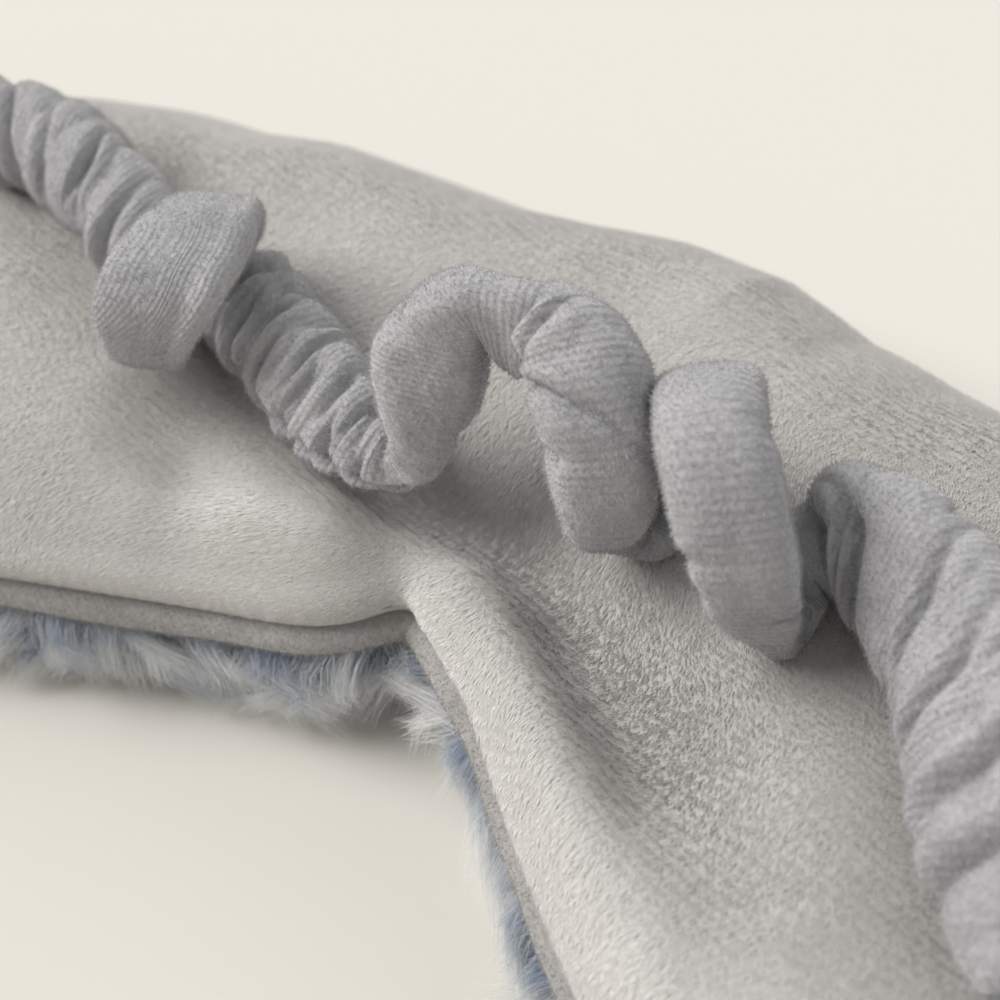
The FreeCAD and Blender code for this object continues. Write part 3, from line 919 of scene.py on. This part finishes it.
# =====================================================================
# the gathered strap
# =====================================================================
# edge point 1, edge point 2, half thickness, amount of gather
SECTIONS = [
    (-109.6, -6.0, 11.3, -109.6, 6.0, 11.3, 1.4, 0.0),
    (-109.6, -6.0, 18.0, -109.6, 6.0, 18.0, 1.5, 0.1),
    (-109.6, -6.0, 24.0, -109.6, 6.0, 24.0, 1.8, 0.4),
    (-108.3, -6.0, 28.2, -108.3, 6.0, 28.4, 2.3, 0.7),
    (-103.5, -5.6, 30.0, -103.5, 5.6, 30.8, 2.9, 0.9),
    (-95.0, -5.2, 28.8, -95.0, 5.3, 30.3, 3.6, 1.0),
    (-84.0, -4.2, 26.6, -85.0, 5.0, 29.2, 4.0, 1.0),
    (-70.4, -2.8, 25.5, -76.2, 4.8, 29.5, 4.4, 1.00),  # A1
    (-66.2, -1.6, 25.5, -70.1, 6.8, 30.5, 4.4, 1.00),  # A2
    (-60.7, -2.1, 26.0, -62.8, 6.8, 30.5, 4.2, 1.00),  # A3
    (-54.6, -2.9, 26.0, -56.2, 6.0, 29.5, 3.8, 1.00),  # A4
    (-50.3, -4.5, 25.5, -50.4, 5.2, 28.0, 3.2, 0.90),  # A5
    (-42.2, -3.7, 25.0, -47.0, 4.3, 27.0, 2.2, 0.40),  # hid1
    (-38.0, 2.1, 26.5, -45.2, 2.7, 29.0, 2.0, 0.20),  # hid2
    (-36.1, 4.9, 31.0, -43.5, 0.4, 32.5, 2.0, 0.10),  # hidt
    (-33.8, 3.6, 35.0, -40.5, -2.8, 36.0, 2.0, 0.05),  # B0
    (-29.9, -1.2, 37.0, -38.0, -8.4, 38.0, 2.1, 0.05),  # B1
    (-27.6, -5.9, 37.0, -36.3, -12.4, 38.0, 2.2, 0.05),  # B2
    (-26.8, -8.9, 35.5, -36.0, -14.4, 36.0, 2.2, 0.05),  # B3
    (-28.4, -10.1, 32.5, -35.9, -14.7, 33.0, 2.2, 0.05),  # B4
    (-31.0, -10.1, 29.5, -37.4, -12.8, 29.0, 2.0, 0.05),  # B5
    (-34.6, -6.1, 26.5, -40.2, -8.1, 27.0, 2.0, 0.20),  # hid3
    (-36.0, -3.9, 25.5, -43.0, 0.2, 27.0, 2.2, 0.50),  # hid4
    (-34.9, -4.1, 25.0, -38.1, 3.3, 28.5, 3.0, 0.90),  # C0
    (-33.2, -4.2, 24.8, -33.8, 3.8, 30.0, 3.4, 1.00),  # C1
    (-30.1, -5.0, 24.5, -29.1, 2.8, 30.0, 3.4, 1.00),  # C2
    (-25.7, -6.4, 24.2, -23.2, 0.7, 30.0, 3.4, 1.00),  # C3
    (-20.7, -7.7, 23.8, -19.3, -0.2, 29.5, 3.4, 1.00),  # C4
    (-15.4, -8.5, 23.8, -14.3, -1.6, 28.5, 3.2, 0.90),  # C5
    (-10.5, -7.7, 24.0, -10.0, -2.7, 28.0, 3.0, 0.80),  # C6
    (-6.3, -5.7, 24.5, -9.1, -4.5, 28.5, 2.8, 0.50),  # D0
    (-5.0, -2.7, 28.0, -9.6, -5.8, 31.5, 3.2, 0.15),  # D1
    (-4.1, 0.4, 32.5, -11.9, -4.2, 34.5, 3.6, 0.08),  # D2
    (-4.2, 1.8, 37.0, -12.6, -2.0, 38.0, 3.6, 0.08),  # D3
    (-4.1, 2.4, 40.5, -9.4, 0.3, 42.5, 3.2, 0.08),  # D4
    (-3.4, 2.2, 38.0, -6.3, 2.3, 44.5, 2.6, 0.10),  # E0
    (-2.2, 2.4, 35.5, -2.9, 3.3, 44.0, 2.2, 0.30),  # E1
    (-0.8, 3.1, 36.0, -0.5, 4.9, 44.0, 2.4, 0.50),  # E2
    (-0.3, 2.7, 39.5, 2.9, 6.4, 44.0, 3.6, 0.35),  # F0
    (1.4, 0.8, 39.0, 8.3, 5.9, 42.0, 4.3, 0.25),  # F1
    (4.3, -1.5, 37.5, 11.0, 3.9, 39.0, 4.0, 0.25),  # F2
    (5.9, -2.8, 34.5, 12.3, 3.2, 35.0, 4.2, 0.12),  # F3
    (7.1, -3.1, 31.0, 12.7, 2.5, 31.0, 4.2, 0.10),  # F4
    (7.0, -1.9, 28.0, 11.2, 1.8, 28.0, 3.4, 0.10),  # F5
    (7.2, 0.0, 25.6, 10.6, 2.4, 25.4, 2.5, 0.15),  # F6
    (8.8, 3.3, 24.4, 13.3, 1.4, 24.2, 2.3, 0.30),  # G0
    (10.0, 5.8, 26.0, 15.1, 4.4, 24.2, 2.4, 0.30),  # G1
    (9.5, 6.9, 30.0, 14.6, 8.7, 27.0, 2.4, 0.20),  # G2
    (9.6, 6.6, 34.0, 15.4, 11.1, 33.0, 2.4, 0.10),  # G3
    (10.6, 5.0, 37.9, 17.7, 9.8, 39.5, 2.7, 0.05),  # H0
    (13.3, 1.6, 40.2, 19.8, 6.8, 42.0, 3.2, 0.05),  # H1
    (15.9, -1.5, 39.7, 22.6, 4.2, 41.0, 3.8, 0.06),  # H2
    (18.2, -2.9, 37.0, 24.8, 2.6, 38.0, 4.0, 0.08),  # H3
    (19.9, -3.4, 33.5, 26.6, 1.9, 34.5, 4.0, 0.10),  # H4
    (21.0, -2.9, 30.3, 27.2, 2.4, 30.8, 3.6, 0.10),  # H5
    (23.2, -1.6, 27.6, 27.2, 2.0, 27.8, 2.8, 0.12),  # H6
    (24.6, 0.4, 25.4, 26.8, 2.3, 25.2, 2.2, 0.15),  # H7
    (25.6, 2.9, 24.2, 28.0, 3.7, 23.8, 2.2, 0.20),  # L0
    (23.4, 7.3, 26.0, 26.9, 7.0, 24.0, 2.4, 0.30),  # L1
    (22.2, 9.1, 32.0, 27.8, 8.3, 24.2, 2.8, 0.50),  # I0
    (24.9, 11.7, 34.5, 29.5, 8.0, 24.4, 3.2, 0.90),  # I1
    (29.9, 12.3, 35.5, 32.3, 6.0, 24.6, 3.6, 1.00),  # I2
    (34.7, 11.3, 35.5, 35.3, 3.8, 24.8, 3.8, 1.00),  # I3
    (39.3, 9.2, 35.5, 37.8, 1.8, 24.8, 3.8, 1.00),  # I4
    (43.8, 5.5, 35.5, 40.3, -0.5, 24.8, 3.8, 1.00),  # I5
    (47.7, 1.5, 35.0, 42.6, -3.0, 24.8, 3.8, 1.00),  # I6
    (50.8, -2.7, 34.5, 44.6, -5.6, 24.8, 3.8, 1.00),  # I7
    (53.5, -6.3, 34.0, 46.4, -8.1, 24.8, 3.8, 1.00),  # I8
    (56.4, -9.1, 33.5, 49.4, -10.2, 24.8, 3.8, 1.00),  # I9
    (59.4, -10.7, 33.0, 53.6, -11.8, 25.0, 3.8, 1.00),  # I10    (66.5, -8.5, 32.0, 64.0, -14.5, 25.8, 3.8, 1.0),
    (76.0, -6.0, 31.0, 75.0, -13.5, 26.5, 3.6, 1.0),
    (88.0, -2.0, 30.6, 87.2, -10.5, 27.6, 3.4, 1.0),
    (98.0, 2.5, 30.6, 98.0, -7.5, 29.0, 3.0, 0.9),
    (105.0, 5.8, 30.4, 105.0, -6.0, 30.0, 2.6, 0.8),
    (109.0, 6.0, 27.6, 109.0, -6.0, 27.6, 2.1, 0.5),
    (109.6, 6.0, 23.0, 109.6, -6.0, 23.0, 1.7, 0.2),
    (109.6, 6.0, 18.0, 109.6, -6.0, 18.0, 1.5, 0.1),
    (109.6, 6.0, 11.3, 109.6, -6.0, 11.3, 1.4, 0.0),
]
SEC = np.array(SECTIONS, float)
MID0 = 7           # first section of the mid piece
MID1 = len(SECTIONS) - 10  # last section of the mid piece
fine = catmull(SEC, 0)
knot = np.arange(len(fine)) / 48.0
centre = (fine[:, 0:3] + fine[:, 3:6]) / 2
seg = np.linalg.norm(np.diff(centre, axis=0), axis=1)
arc = np.concatenate([[0], np.cumsum(seg)])
STEP = 0.24
NSEC = int(arc[-1] / STEP)
s = np.linspace(0, arc[-1], NSEC)
S8 = np.stack([np.interp(s, arc, fine[:, k]) for k in range(8)], 1)
kn = np.interp(s, arc, knot)


def smooth_rows(a, sigma):
    r = int(max(2, sigma * 3))
    w = np.exp(-0.5 * (np.arange(-r, r + 1) / sigma) ** 2)
    w /= w.sum()
    pad = np.vstack([np.repeat(a[:1], r, 0), a, np.repeat(a[-1:], r, 0)])
    return np.stack([np.convolve(pad[:, k], w, mode="valid") for k in range(a.shape[1])], 1)


S8 = smooth_rows(S8, 1.0 / STEP)
C = (S8[:, 0:3] + S8[:, 3:6]) / 2
W = S8[:, 3:6] - S8[:, 0:3]
T = unit(smooth_rows(np.gradient(C, axis=0), 0.8 / STEP))
halfw = np.linalg.norm(W, axis=1) / 2
Wn = unit(W)
Nn = unit(np.cross(T, Wn))
Nn = unit(smooth_rows(Nn, 0.5 / STEP))
B = S8[:, 6]
G = S8[:, 7].clip(0, 1.2)

# creases of the gathers, at uneven spacing that follows how tightly each stretch is drawn up
crease = [0.0]
r2 = np.random.default_rng(5)
while crease[-1] < arc[-1]:
    k = np.interp(crease[-1], s, kn)
    if 22 <= k < 31:
        gap = 2.9 + 2.0 * r2.random()
    elif k < 12:
        gap = 3.8 + 2.8 * r2.random()
    elif 58 <= k < 70:
        gap = 4.4 + 2.6 * r2.random()
    else:
        gap = 3.6 + 3.0 * r2.random()
    crease.append(crease[-1] + gap)
crease = np.array(crease)
NCR = len(crease)
depth = 0.55 + 0.45 * r2.random(NCR)
middle = r2.uniform(0, 2 * math.pi, NCR)

A = 120
phi = np.linspace(0, 2 * math.pi, A, endpoint=False)
cs, sn = np.cos(phi)[None], np.sin(phi)[None]
# lobes where the tube lies flat have squarer edges
flatness = np.interp(kn, [11, 14, 18, 22, 27, 30, 33, 36, 38, 41, 44, 49, 52, 57, 59, 62], [0, 1, 1, 0, 0, .8, .8, .3, .3, .6, .4, .5, .9, .8, .2, 0])
e = (0.82 - 0.24 * flatness)[:, None]
px = np.sign(cs) * np.abs(cs) ** e
py = np.sign(sn) * np.abs(sn) ** e
SLANT = np.interp(kn, [0, 56, 60, 62, 70, 76, 80], [0, 0, 1.0, 1.9, 1.9, 1.0, 0])


def gathers(sv, ph, slant):
    """Puffs between sharp, tapering creases, for arc lengths sv and angles ph of the same shape."""
    shape = sv.shape
    sv, ph = sv.ravel(), ph.ravel()
    slant = slant.ravel()
    q = np.stack([sv, 6 * np.cos(ph), 6 * np.sin(ph)], 1)
    warp = 1.9 * noise3(q, 8.0, 51.0) + 0.35 * noise3(q, 3.4, 52.0)
    w = sv + warp - slant * np.cos(ph)
    i = np.clip(np.searchsorted(crease, w) - 1, 0, NCR - 2)
    gap = crease[i + 1] - crease[i]
    a, b = w - crease[i], crease[i + 1] - w
    lam = 0.22 * gap + 0.22

    def deep(c):
        bell = 0.30 + 0.80 * (0.5 + 0.5 * np.cos(ph - middle[c])) ** 1.5
        return depth[c] * bell * (0.8 + 0.5 * noise3(q, 5.0, 53.0))
    v = np.clip(a, 0, None), np.clip(b, 0, None)
    cut = deep(i) * np.exp(-(v[0] / lam) ** 1.15) + deep(i + 1) * np.exp(-(v[1] / lam) ** 1.15)
    u = np.clip(a / gap, 0, 1) * 2 - 1
    puff = 0.45 * (1 - u * u)
    return ((puff - 1.7 * cut) * np.minimum(0.42 + 0.17 * gap, 1.4)).reshape(shape)


SV, PH = np.meshgrid(s, phi, indexing="ij")
g = gathers(SV, PH, np.repeat(SLANT[:, None], A, 1))
q = np.stack([SV.ravel(), 5 * np.cos(PH.ravel()), 5 * np.sin(PH.ravel())], 1)
low_n = noise3(q, 9.0, 54.0).reshape(SV.shape)
mid_n = noise3(q, 3.0, 55.0).reshape(SV.shape)
gg = G[:, None]
ring_w = np.interp(kn, [0, 11, 15, 24, 27, 30, 56, 60, 80], [0.40, 0.40, 1, 1, 0.42, 0.6, 0.6, 0.30, 0.30])[:, None]
dr = 1.5 * gg * ring_w * g + 0.35 * gg + (0.38 + 0.3 * gg) * low_n + 0.16 * mid_n * (0.5 + gg)


def stroke(s0, ph0, slope, bow, reach, wide, deep):
    """One crease: a dark line across part of the tube with a puff rising beside it."""
    rows = np.abs(s - s0) < 5 * wide + abs(slope) * 3.2 + abs(bow) * 4 + 2
    if not rows.any():
        return
    da = np.angle(np.exp(1j * (phi - ph0)))
    ds = s[rows][:, None] - s0 - (slope * da + bow * da * da)[None]
    on = np.exp(-(da / reach) ** 2)[None]
    dr[rows] += gg[rows] * deep * on * (0.42 * np.exp(-(ds / (2.7 * wide)) ** 2) - np.exp(-np.abs(ds / wide) ** 1.25))


r3 = np.random.default_rng(11)


def creases(k0, k1, gap, reach, wide, deep, slope, bow):
    at = np.interp(k0, kn, s)
    end = np.interp(k1, kn, s)
    turn = r3.uniform(0, 6.28)
    while at < end:
        turn += 2.4 + r3.normal(0, 0.5)
        stroke(at, turn, slope + r3.normal(0, 0.35), r3.normal(0, bow), r3.uniform(*reach), r3.uniform(*wide), r3.uniform(*deep))
        at += gap * r3.uniform(0.6, 1.4)


# the side of each section that is turned up and towards the near left
facing = np.array([-0.10, -0.62, 0.78])
FACE = np.unwrap(np.arctan2((Nn * facing).sum(1) / B, (Wn * facing).sum(1) / halfw))


def facing_creases(k0, k1, gap, spread, reach, wide, deep, slope, bow):
    at, end, side = np.interp(k0, kn, s), np.interp(k1, kn, s), 1
    while at < end:
        side = -side
        ph0 = np.interp(at, s, FACE) + side * spread * r3.uniform(0.3, 1.0)
        stroke(at, ph0, slope + r3.normal(0, 0.4), r3.normal(0, bow), r3.uniform(*reach), r3.uniform(*wide), r3.uniform(*deep))
        at += gap * r3.uniform(0.75, 1.25)


facing_creases(0, 12.2, 5.8, 0.6, (0.8, 1.3), (0.65, 0.95), (1.8, 2.7), 1.6, 0.5)
creases(0, 12.2, 4.6, (0.4, 0.8), (0.4, 0.6), (0.6, 1.1), -0.9, 0.4)
facing_creases(22.8, 30.0, 2.6, 0.7, (0.5, 1.0), (0.42, 0.66), (1.5, 2.4), 0.5, 0.5)
creases(22.5, 30.0, 2.2, (0.5, 1.0), (0.3, 0.45), (0.7, 1.2), 0.3, 0.2)
facing_creases(59.3, 80, 6.6, 0.45, (1.0, 1.5), (0.85, 1.25), (3.0, 4.2), 2.0, 0.5)
creases(57.0, 80, 3.6, (0.4, 0.9), (0.45, 0.7), (0.9, 1.5), 0.8, 0.4)
# a soft groove where the tube's own long seam runs, puckered
seam_at = np.exp(-((np.angle(np.exp(1j * (PH - 4.4)))) / 0.22) ** 2)
on_c = smooth01((kn - 25.5) / 1.5) * (1 - smooth01((kn - 29.6) / 1.0))
dr -= (0.55 * (0.5 + 0.5 * gg) + 0.5 * on_c[:, None]) * seam_at
side_at = np.exp(-((np.angle(np.exp(1j * (PH - 2.55)))) / 0.20) ** 2)
dr -= 1.5 * on_c[:, None] * side_at * (1 + 0.3 * mid_n)
def pinch(knot_at, width, ang, spread, deep):
    """A local crease across one side of a lobe."""
    ds = (SV - np.interp(knot_at, kn, s)) / width
    da = np.angle(np.exp(1j * (PH - ang))) / spread
    return -deep * np.exp(-np.abs(ds) ** 1.3) * np.exp(-da * da)


# first coil's rolled-over top, the second coil's puffs, the third coil's pinch
for k_at, wd, ang, sp, dp in [(15.4, 1.2, 0.4, 0.9, 0.9), (40.7, 0.9, 3.0, 0.6, 1.4), (42.0, 1.0, 3.3, 0.6, 0.8),
                              (53.3, 1.5, 3.1, 0.8, 2.5), (53.7, 0.9, 0.2, 0.7, 0.9), (50.6, 0.9, 0.1, 0.8, 0.7),
                              (31.4, 1.2, 3.0, 0.8, 0.9), (33.4, 1.0, 0.2, 0.9, 0.8), (30.2, 1.0, 2.0, 1.2, 1.0)]:
    dr += pinch(k_at, wd, ang, sp, dp)
gg = np.ones_like(gg)
for k_at, ang, slope, bow, reach, wd, dp in [(38.3, 1.6, 1.4, 0.6, 1.2, 0.65, 2.0), (39.5, 2.4, -1.6, 0.7, 1.3, 0.8, 2.3),
                                             (40.6, 3.0, 0.4, 0.3, 0.8, 0.6, 1.3), (52.6, 3.0, 0.8, 0.4, 0.9, 0.7, 1.5),
                                             (15.9, 0.5, -0.8, 0.5, 0.9, 0.7, 0.9), (54.2, 0.6, -0.9, 0.2, 0.7, 0.5, 0.9)]:
    stroke(np.interp(k_at, kn, s), ang, slope, bow, reach, wd, dp)
ex = px * halfw[:, None]
ey = py * B[:, None]
rad = np.sqrt(ex ** 2 + ey ** 2)
# outward direction of the section
ox = px / halfw[:, None]
oy = py / B[:, None]
ol = np.sqrt(ox ** 2 + oy ** 2)
ox, oy = ox / ol, oy / ol
ex = ex + ox * dr
ey = ey + oy * dr
STRAP = C[:, None, :] + Wn[:, None, :] * ex[..., None] + Nn[:, None, :] * ey[..., None]
girth = np.cumsum(np.linalg.norm(np.roll(STRAP, -1, 1) - STRAP, axis=2), axis=1)

VELOUR = cloth_mat("strap_velour", (146, 146, 149), (188, 187, 189), scale=2300, bump=0.55, dist=0.00035, rough=0.88,
                   sheen=0.75, sheen_rough=0.4, rib=(0.62, 0.16), patch=80)


def strap_piece(name, i0, i1):
    ring = STRAP[i0:i1 + 1]
    n = len(ring)
    v = ring.reshape(-1, 3)
    qd = grid_faces(n, A, wrap=True)
    # the first coil lies with its wales turned across
    turn = (smooth01((kn[i0:i1 + 1] - 13.0) / 1.2) * (1 - smooth01((kn[i0:i1 + 1] - 20.3) / 1.2)))[:, None]
    uv = np.stack([(s[i0:i1 + 1, None] * (1 - turn) + girth[i0:i1 + 1] * turn).ravel(), girth[i0:i1 + 1].ravel()], 1)
    caps_v, caps_t = [], []
    for row, flip in ((0, False), (n - 1, True)):
        c = ring[row].mean(0)
        ci = len(v) + len(caps_v)
        caps_v.append(c)
        for a in range(A):
            b = (a + 1) % A
            caps_t.append((ci, row * A + b, row * A + a) if not flip else (ci, row * A + a, row * A + b))
    v2 = np.vstack([v, np.array(caps_v)])
    uv = np.vstack([uv, [[s[i0], 0], [s[i1], 0]]])
    if volume_sign(v, qd) < 0:
        qd = qd[:, ::-1]
    else:
        caps_t = [t[::-1] for t in caps_t]
    caps_t = np.array(caps_t)
    return make_mesh(name, v2, tris=caps_t, quads=qd, mats=[VELOUR], uv=uv)


def at_knot(k):
    return int(np.argmin(np.abs(kn - k)))


CUT0, CUT1 = at_knot(7.0), at_knot(len(SECTIONS) - 9.0)
strap_l = strap_piece("strap_end_left", 0, CUT0 + 2)
strap_m = strap_piece("strap_middle", CUT0, CUT1)
strap_r = strap_piece("strap_end_right", CUT1 - 2, NSEC - 1)
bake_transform(strap_l)
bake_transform(strap_m)
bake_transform(strap_r)
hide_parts("strap_root_cover_left", "strap_root_elastic_left")
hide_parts("strap_root_cover_right", "strap_root_elastic_right")
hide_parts("strap_cover_left", "strap_cover_right", "strap_elastic_left", "strap_elastic_right")

# --------------------------------------------------------------- the velour's short nap
NAP_COL = [(158, 158, 161), (178, 178, 180), (196, 195, 196), (214, 213, 212)]
NAP_MATS = [fibre_mat("nap_%d" % k, c, rough=0.7, sheen=0.4, trans=0.3) for k, c in enumerate(NAP_COL)]
SN = grid_normals(STRAP, wrap=True)
probe = STRAP - C[:, None, :]
if (SN * probe).sum() < 0:
    SN = -SN


def nap(i0, i1, count):
    ring = STRAP[i0:i1 + 1]
    norm = SN[i0:i1 + 1]
    a = ring[:-1]
    b = ring[1:]
    c = np.roll(ring, -1, 1)[:-1]
    area = np.linalg.norm(np.cross(b - a, c - a), axis=-1)
    prob = (area / area.sum()).ravel()
    pick = rng.choice(len(prob), size=count, p=prob)
    i, j = pick // A, pick % A
    j2 = (j + 1) % A
    f, h = rng.random((count, 1)), rng.random((count, 1))
    root = (ring[i, j] * (1 - f) + ring[i + 1, j] * f) * (1 - h) + (ring[i, j2] * (1 - f) + ring[i + 1, j2] * f) * h
    nrm = unit(norm[i, j] * (1 - h) + norm[i, j2] * h)
    tan = unit(ring[i + 1, j] - ring[i, j])
    clot = noise3(root, 0.6, 61.0)
    direc = unit(nrm + 0.35 * tan + rng.normal(0, 0.42, (count, 3)))
    L = (0.42 + 0.10 * clot + 0.10 * rng.normal(0, 1, count)).clip(0.18, 0.85)
    tone = 0.50 + 0.13 * clot + 0.10 * noise3(root, 7.0, 62.0) + rng.normal(0, 0.13, count)
    tint = np.clip(np.round(tone * 3), 0, 3).astype(int)
    v, t, per = ribbons(root - nrm * 0.06, direc, nrm, L, rng.uniform(0.05, 0.08, count), nrm * 0.0, segs=1, roll=1.4)
    return v, t, np.repeat(tint, per)


def nap_piece(name, i0, i1):
    share = (i1 - i0) / NSEC
    v, t, m = nap(i0, i1, int((280000) * share))
    ob = make_mesh(name, v, tris=t, mats=NAP_MATS, mat_index=m)
    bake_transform(ob)
    return ob


nap_piece("strap_nap_left", 0, CUT0 + 2)
nap_piece("strap_nap_middle", CUT0, CUT1)
nap_piece("strap_nap_right", CUT1 - 2, NSEC - 1)


# --------------------------------------------------------------- bartacks where the strap ends are sewn down
def bartack(name, sign, body, node):
    lo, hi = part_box(node)
    lo = [c / MM for c in lo]
    hi = [c / MM for c in hi]
    vs, qs = [], []
    n = 26
    y0, y1 = lo[1], hi[1]
    zc = (lo[2] + hi[2]) / 2
    zr = (hi[2] - lo[2]) / 2
    xc = hi[0] if sign > 0 else lo[0]
    half_x = (hi[0] - lo[0]) / 2
    xm = (lo[0] + hi[0]) / 2
    # zig-zag satin of thread
    path = []
    for k in range(n * 2 + 1):
        path.append((y0 + 0.3 + (y1 - y0 - 0.6) * k / (2 * n), zc + (zr - 0.25) * (1 if k % 2 else -1)))
    path = np.array(path)
    rr = 0.2
    for k in range(len(path)):
        for a in range(8):
            th = a / 8 * 2 * math.pi
            vs.append((xm + sign * (half_x - 0.25) + 0.25 * math.cos(th) * (1 if k % 1 == 0 else 1), path[k, 0] + rr * math.sin(th), path[k, 1]))
    for k in range(len(path) - 1):
        for a in range(8):
            b = (a + 1) % 8
            qs.append((k * 8 + a, k * 8 + b, k * 8 + 8 + b, k * 8 + 8 + a))
    for row, f in ((0, 1), (len(path) - 1, -1)):
        o = row * 8
        for t3 in ((0, 7, 6, 5), (0, 5, 4, 3), (0, 3, 2, 1)):
            qs.append(tuple(o + t for t in (t3 if f > 0 else t3[::-1])))
    vs, qs = np.array(vs), np.array(qs)
    ob = make_mesh(name, vs, quads=outward(vs, qs), mats=[THREAD])
    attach(ob, body)
    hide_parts(node)
    return ob


bartack("bartack_right", 1, "right_half", "strap_bartack_right")
bartack("bartack_left", -1, "left_half", "strap_bartack_left")


# =====================================================================
# floor, light, camera
# =====================================================================
fm_, fnt, fb, fo = new_mat("floor_paper")
fb.inputs["Base Color"].default_value = lin(221, 218, 211)
fb.inputs["Roughness"].default_value = 0.9
fb.inputs["Specular IOR Level"].default_value = 0.2
floor = make_mesh("floor", np.array([(-3000, -3000, 0), (3000, -3000, 0), (3000, 3000, 0), (-3000, 3000, 0.0)]),
                  quads=np.array([(0, 1, 2, 3)]), mats=[fm_])

# the floor drops so that a folded or swung part stays above it
helpers = []
for body, pts in (("left_half", [(-0.105, 0, 0), (-0.069, -0.045, 0.014), (-0.08, 0.03, 0.014), (-0.05, 0, 0.03)]),
                  ("strap_left", [(-0.06, 0, 0.04), (-0.03, -0.012, 0.04)]),
                  ("strap_right", [(0.02, 0, 0.0432), (0.06, -0.01, 0.038), (0.1, 0, 0.034)]),
                  ("strap_root_left", [(-0.1115, 0, 0.03)])):
    for n, pt3 in enumerate(pts):
        h = bpy.data.objects.new("floor_probe_%s_%d" % (body, n), None)
        bpy.context.scene.collection.objects.link(h)
        h.location = pt3
        h.parent = frame["bodies"][body]
        helpers.append(h)
fc = floor.driver_add("location", 2).driver
fc.type = "MIN"
for n, h in enumerate(helpers):
    var = fc.variables.new()
    var.name = "z%d" % n
    var.type = "TRANSFORMS"
    var.targets[0].id = h
    var.targets[0].transform_type = "LOC_Z"
    var.targets[0].transform_space = "WORLD_SPACE"

world = bpy.data.worlds.new("studio")
bpy.context.scene.world = world
world.use_nodes = True
wn = world.node_tree
bg = wn.nodes["Background"]
bg.inputs[0].default_value = (1.0, 0.98, 0.95, 1)
bg.inputs[1].default_value = 0.38
sweep = wn.nodes.new("ShaderNodeBackground")
sweep.inputs[0].default_value = lin(238, 234, 226)
sweep.inputs[1].default_value = 1.0
path = wn.nodes.new("ShaderNodeLightPath")
wmix = wn.nodes.new("ShaderNodeMixShader")
wn.links.new(path.outputs["Is Camera Ray"], wmix.inputs[0])
wn.links.new(bg.outputs[0], wmix.inputs[1])
wn.links.new(sweep.outputs[0], wmix.inputs[2])
wn.links.new(wmix.outputs[0], wn.nodes["World Output"].inputs[0])


def sun(name, direction, spread, strength, colour):
    L = bpy.data.lights.new(name, "SUN")
    L.angle = spread
    L.energy = strength
    L.color = colour
    o = bpy.data.objects.new(name, L)
    bpy.context.scene.collection.objects.link(o)
    o.rotation_mode = "QUATERNION"
    o.rotation_quaternion = Vector(direction).to_track_quat("Z", "Y")
    return o


sun("window", (-0.76, -0.44, 0.86), 0.70, 2.95, (1.0, 0.985, 0.96))
sun("back_fill", (0.0, 0.95, 0.70), 0.9, 0.85, (0.97, 0.985, 1.0))

cam_data = bpy.data.cameras.new("camera")
cam = bpy.data.objects.new("camera", cam_data)
bpy.context.scene.collection.objects.link(cam)
bpy.context.scene.camera = cam
AZ, EL, ROLL = math.radians(44.2), math.radians(49.8), math.radians(-4.0)
back = Vector((math.sin(AZ) * math.cos(EL), -math.cos(AZ) * math.cos(EL), math.sin(EL)))
right = Vector((math.cos(AZ), math.sin(AZ), 0))
upv = back.cross(right)
r2v = right * math.cos(ROLL) + upv * math.sin(ROLL)
u2v = upv * math.cos(ROLL) - right * math.sin(ROLL)
from mathutils import Matrix
rot = Matrix((r2v, u2v, back)).transposed()
cam.rotation_mode = "QUATERNION"
cam.rotation_quaternion = rot.to_quaternion()
cam.location = Vector((-0.0147, 0.0128, 0.0)) + back * 0.1704
cam_data.sensor_width = 36
cam_data.lens = 57.6
cam_data.clip_start, cam_data.clip_end = 0.001, 50
focus = bpy.data.objects.new("focus", None)
bpy.context.scene.collection.objects.link(focus)
focus.location = (0.004, -0.009, 0.026)
cam_data.dof.use_dof = True
cam_data.dof.focus_object = focus
cam_data.dof.aperture_fstop = 28.0

bpy.context.scene.view_settings.view_transform = "Standard"
bpy.context.scene.view_settings.look = "None"
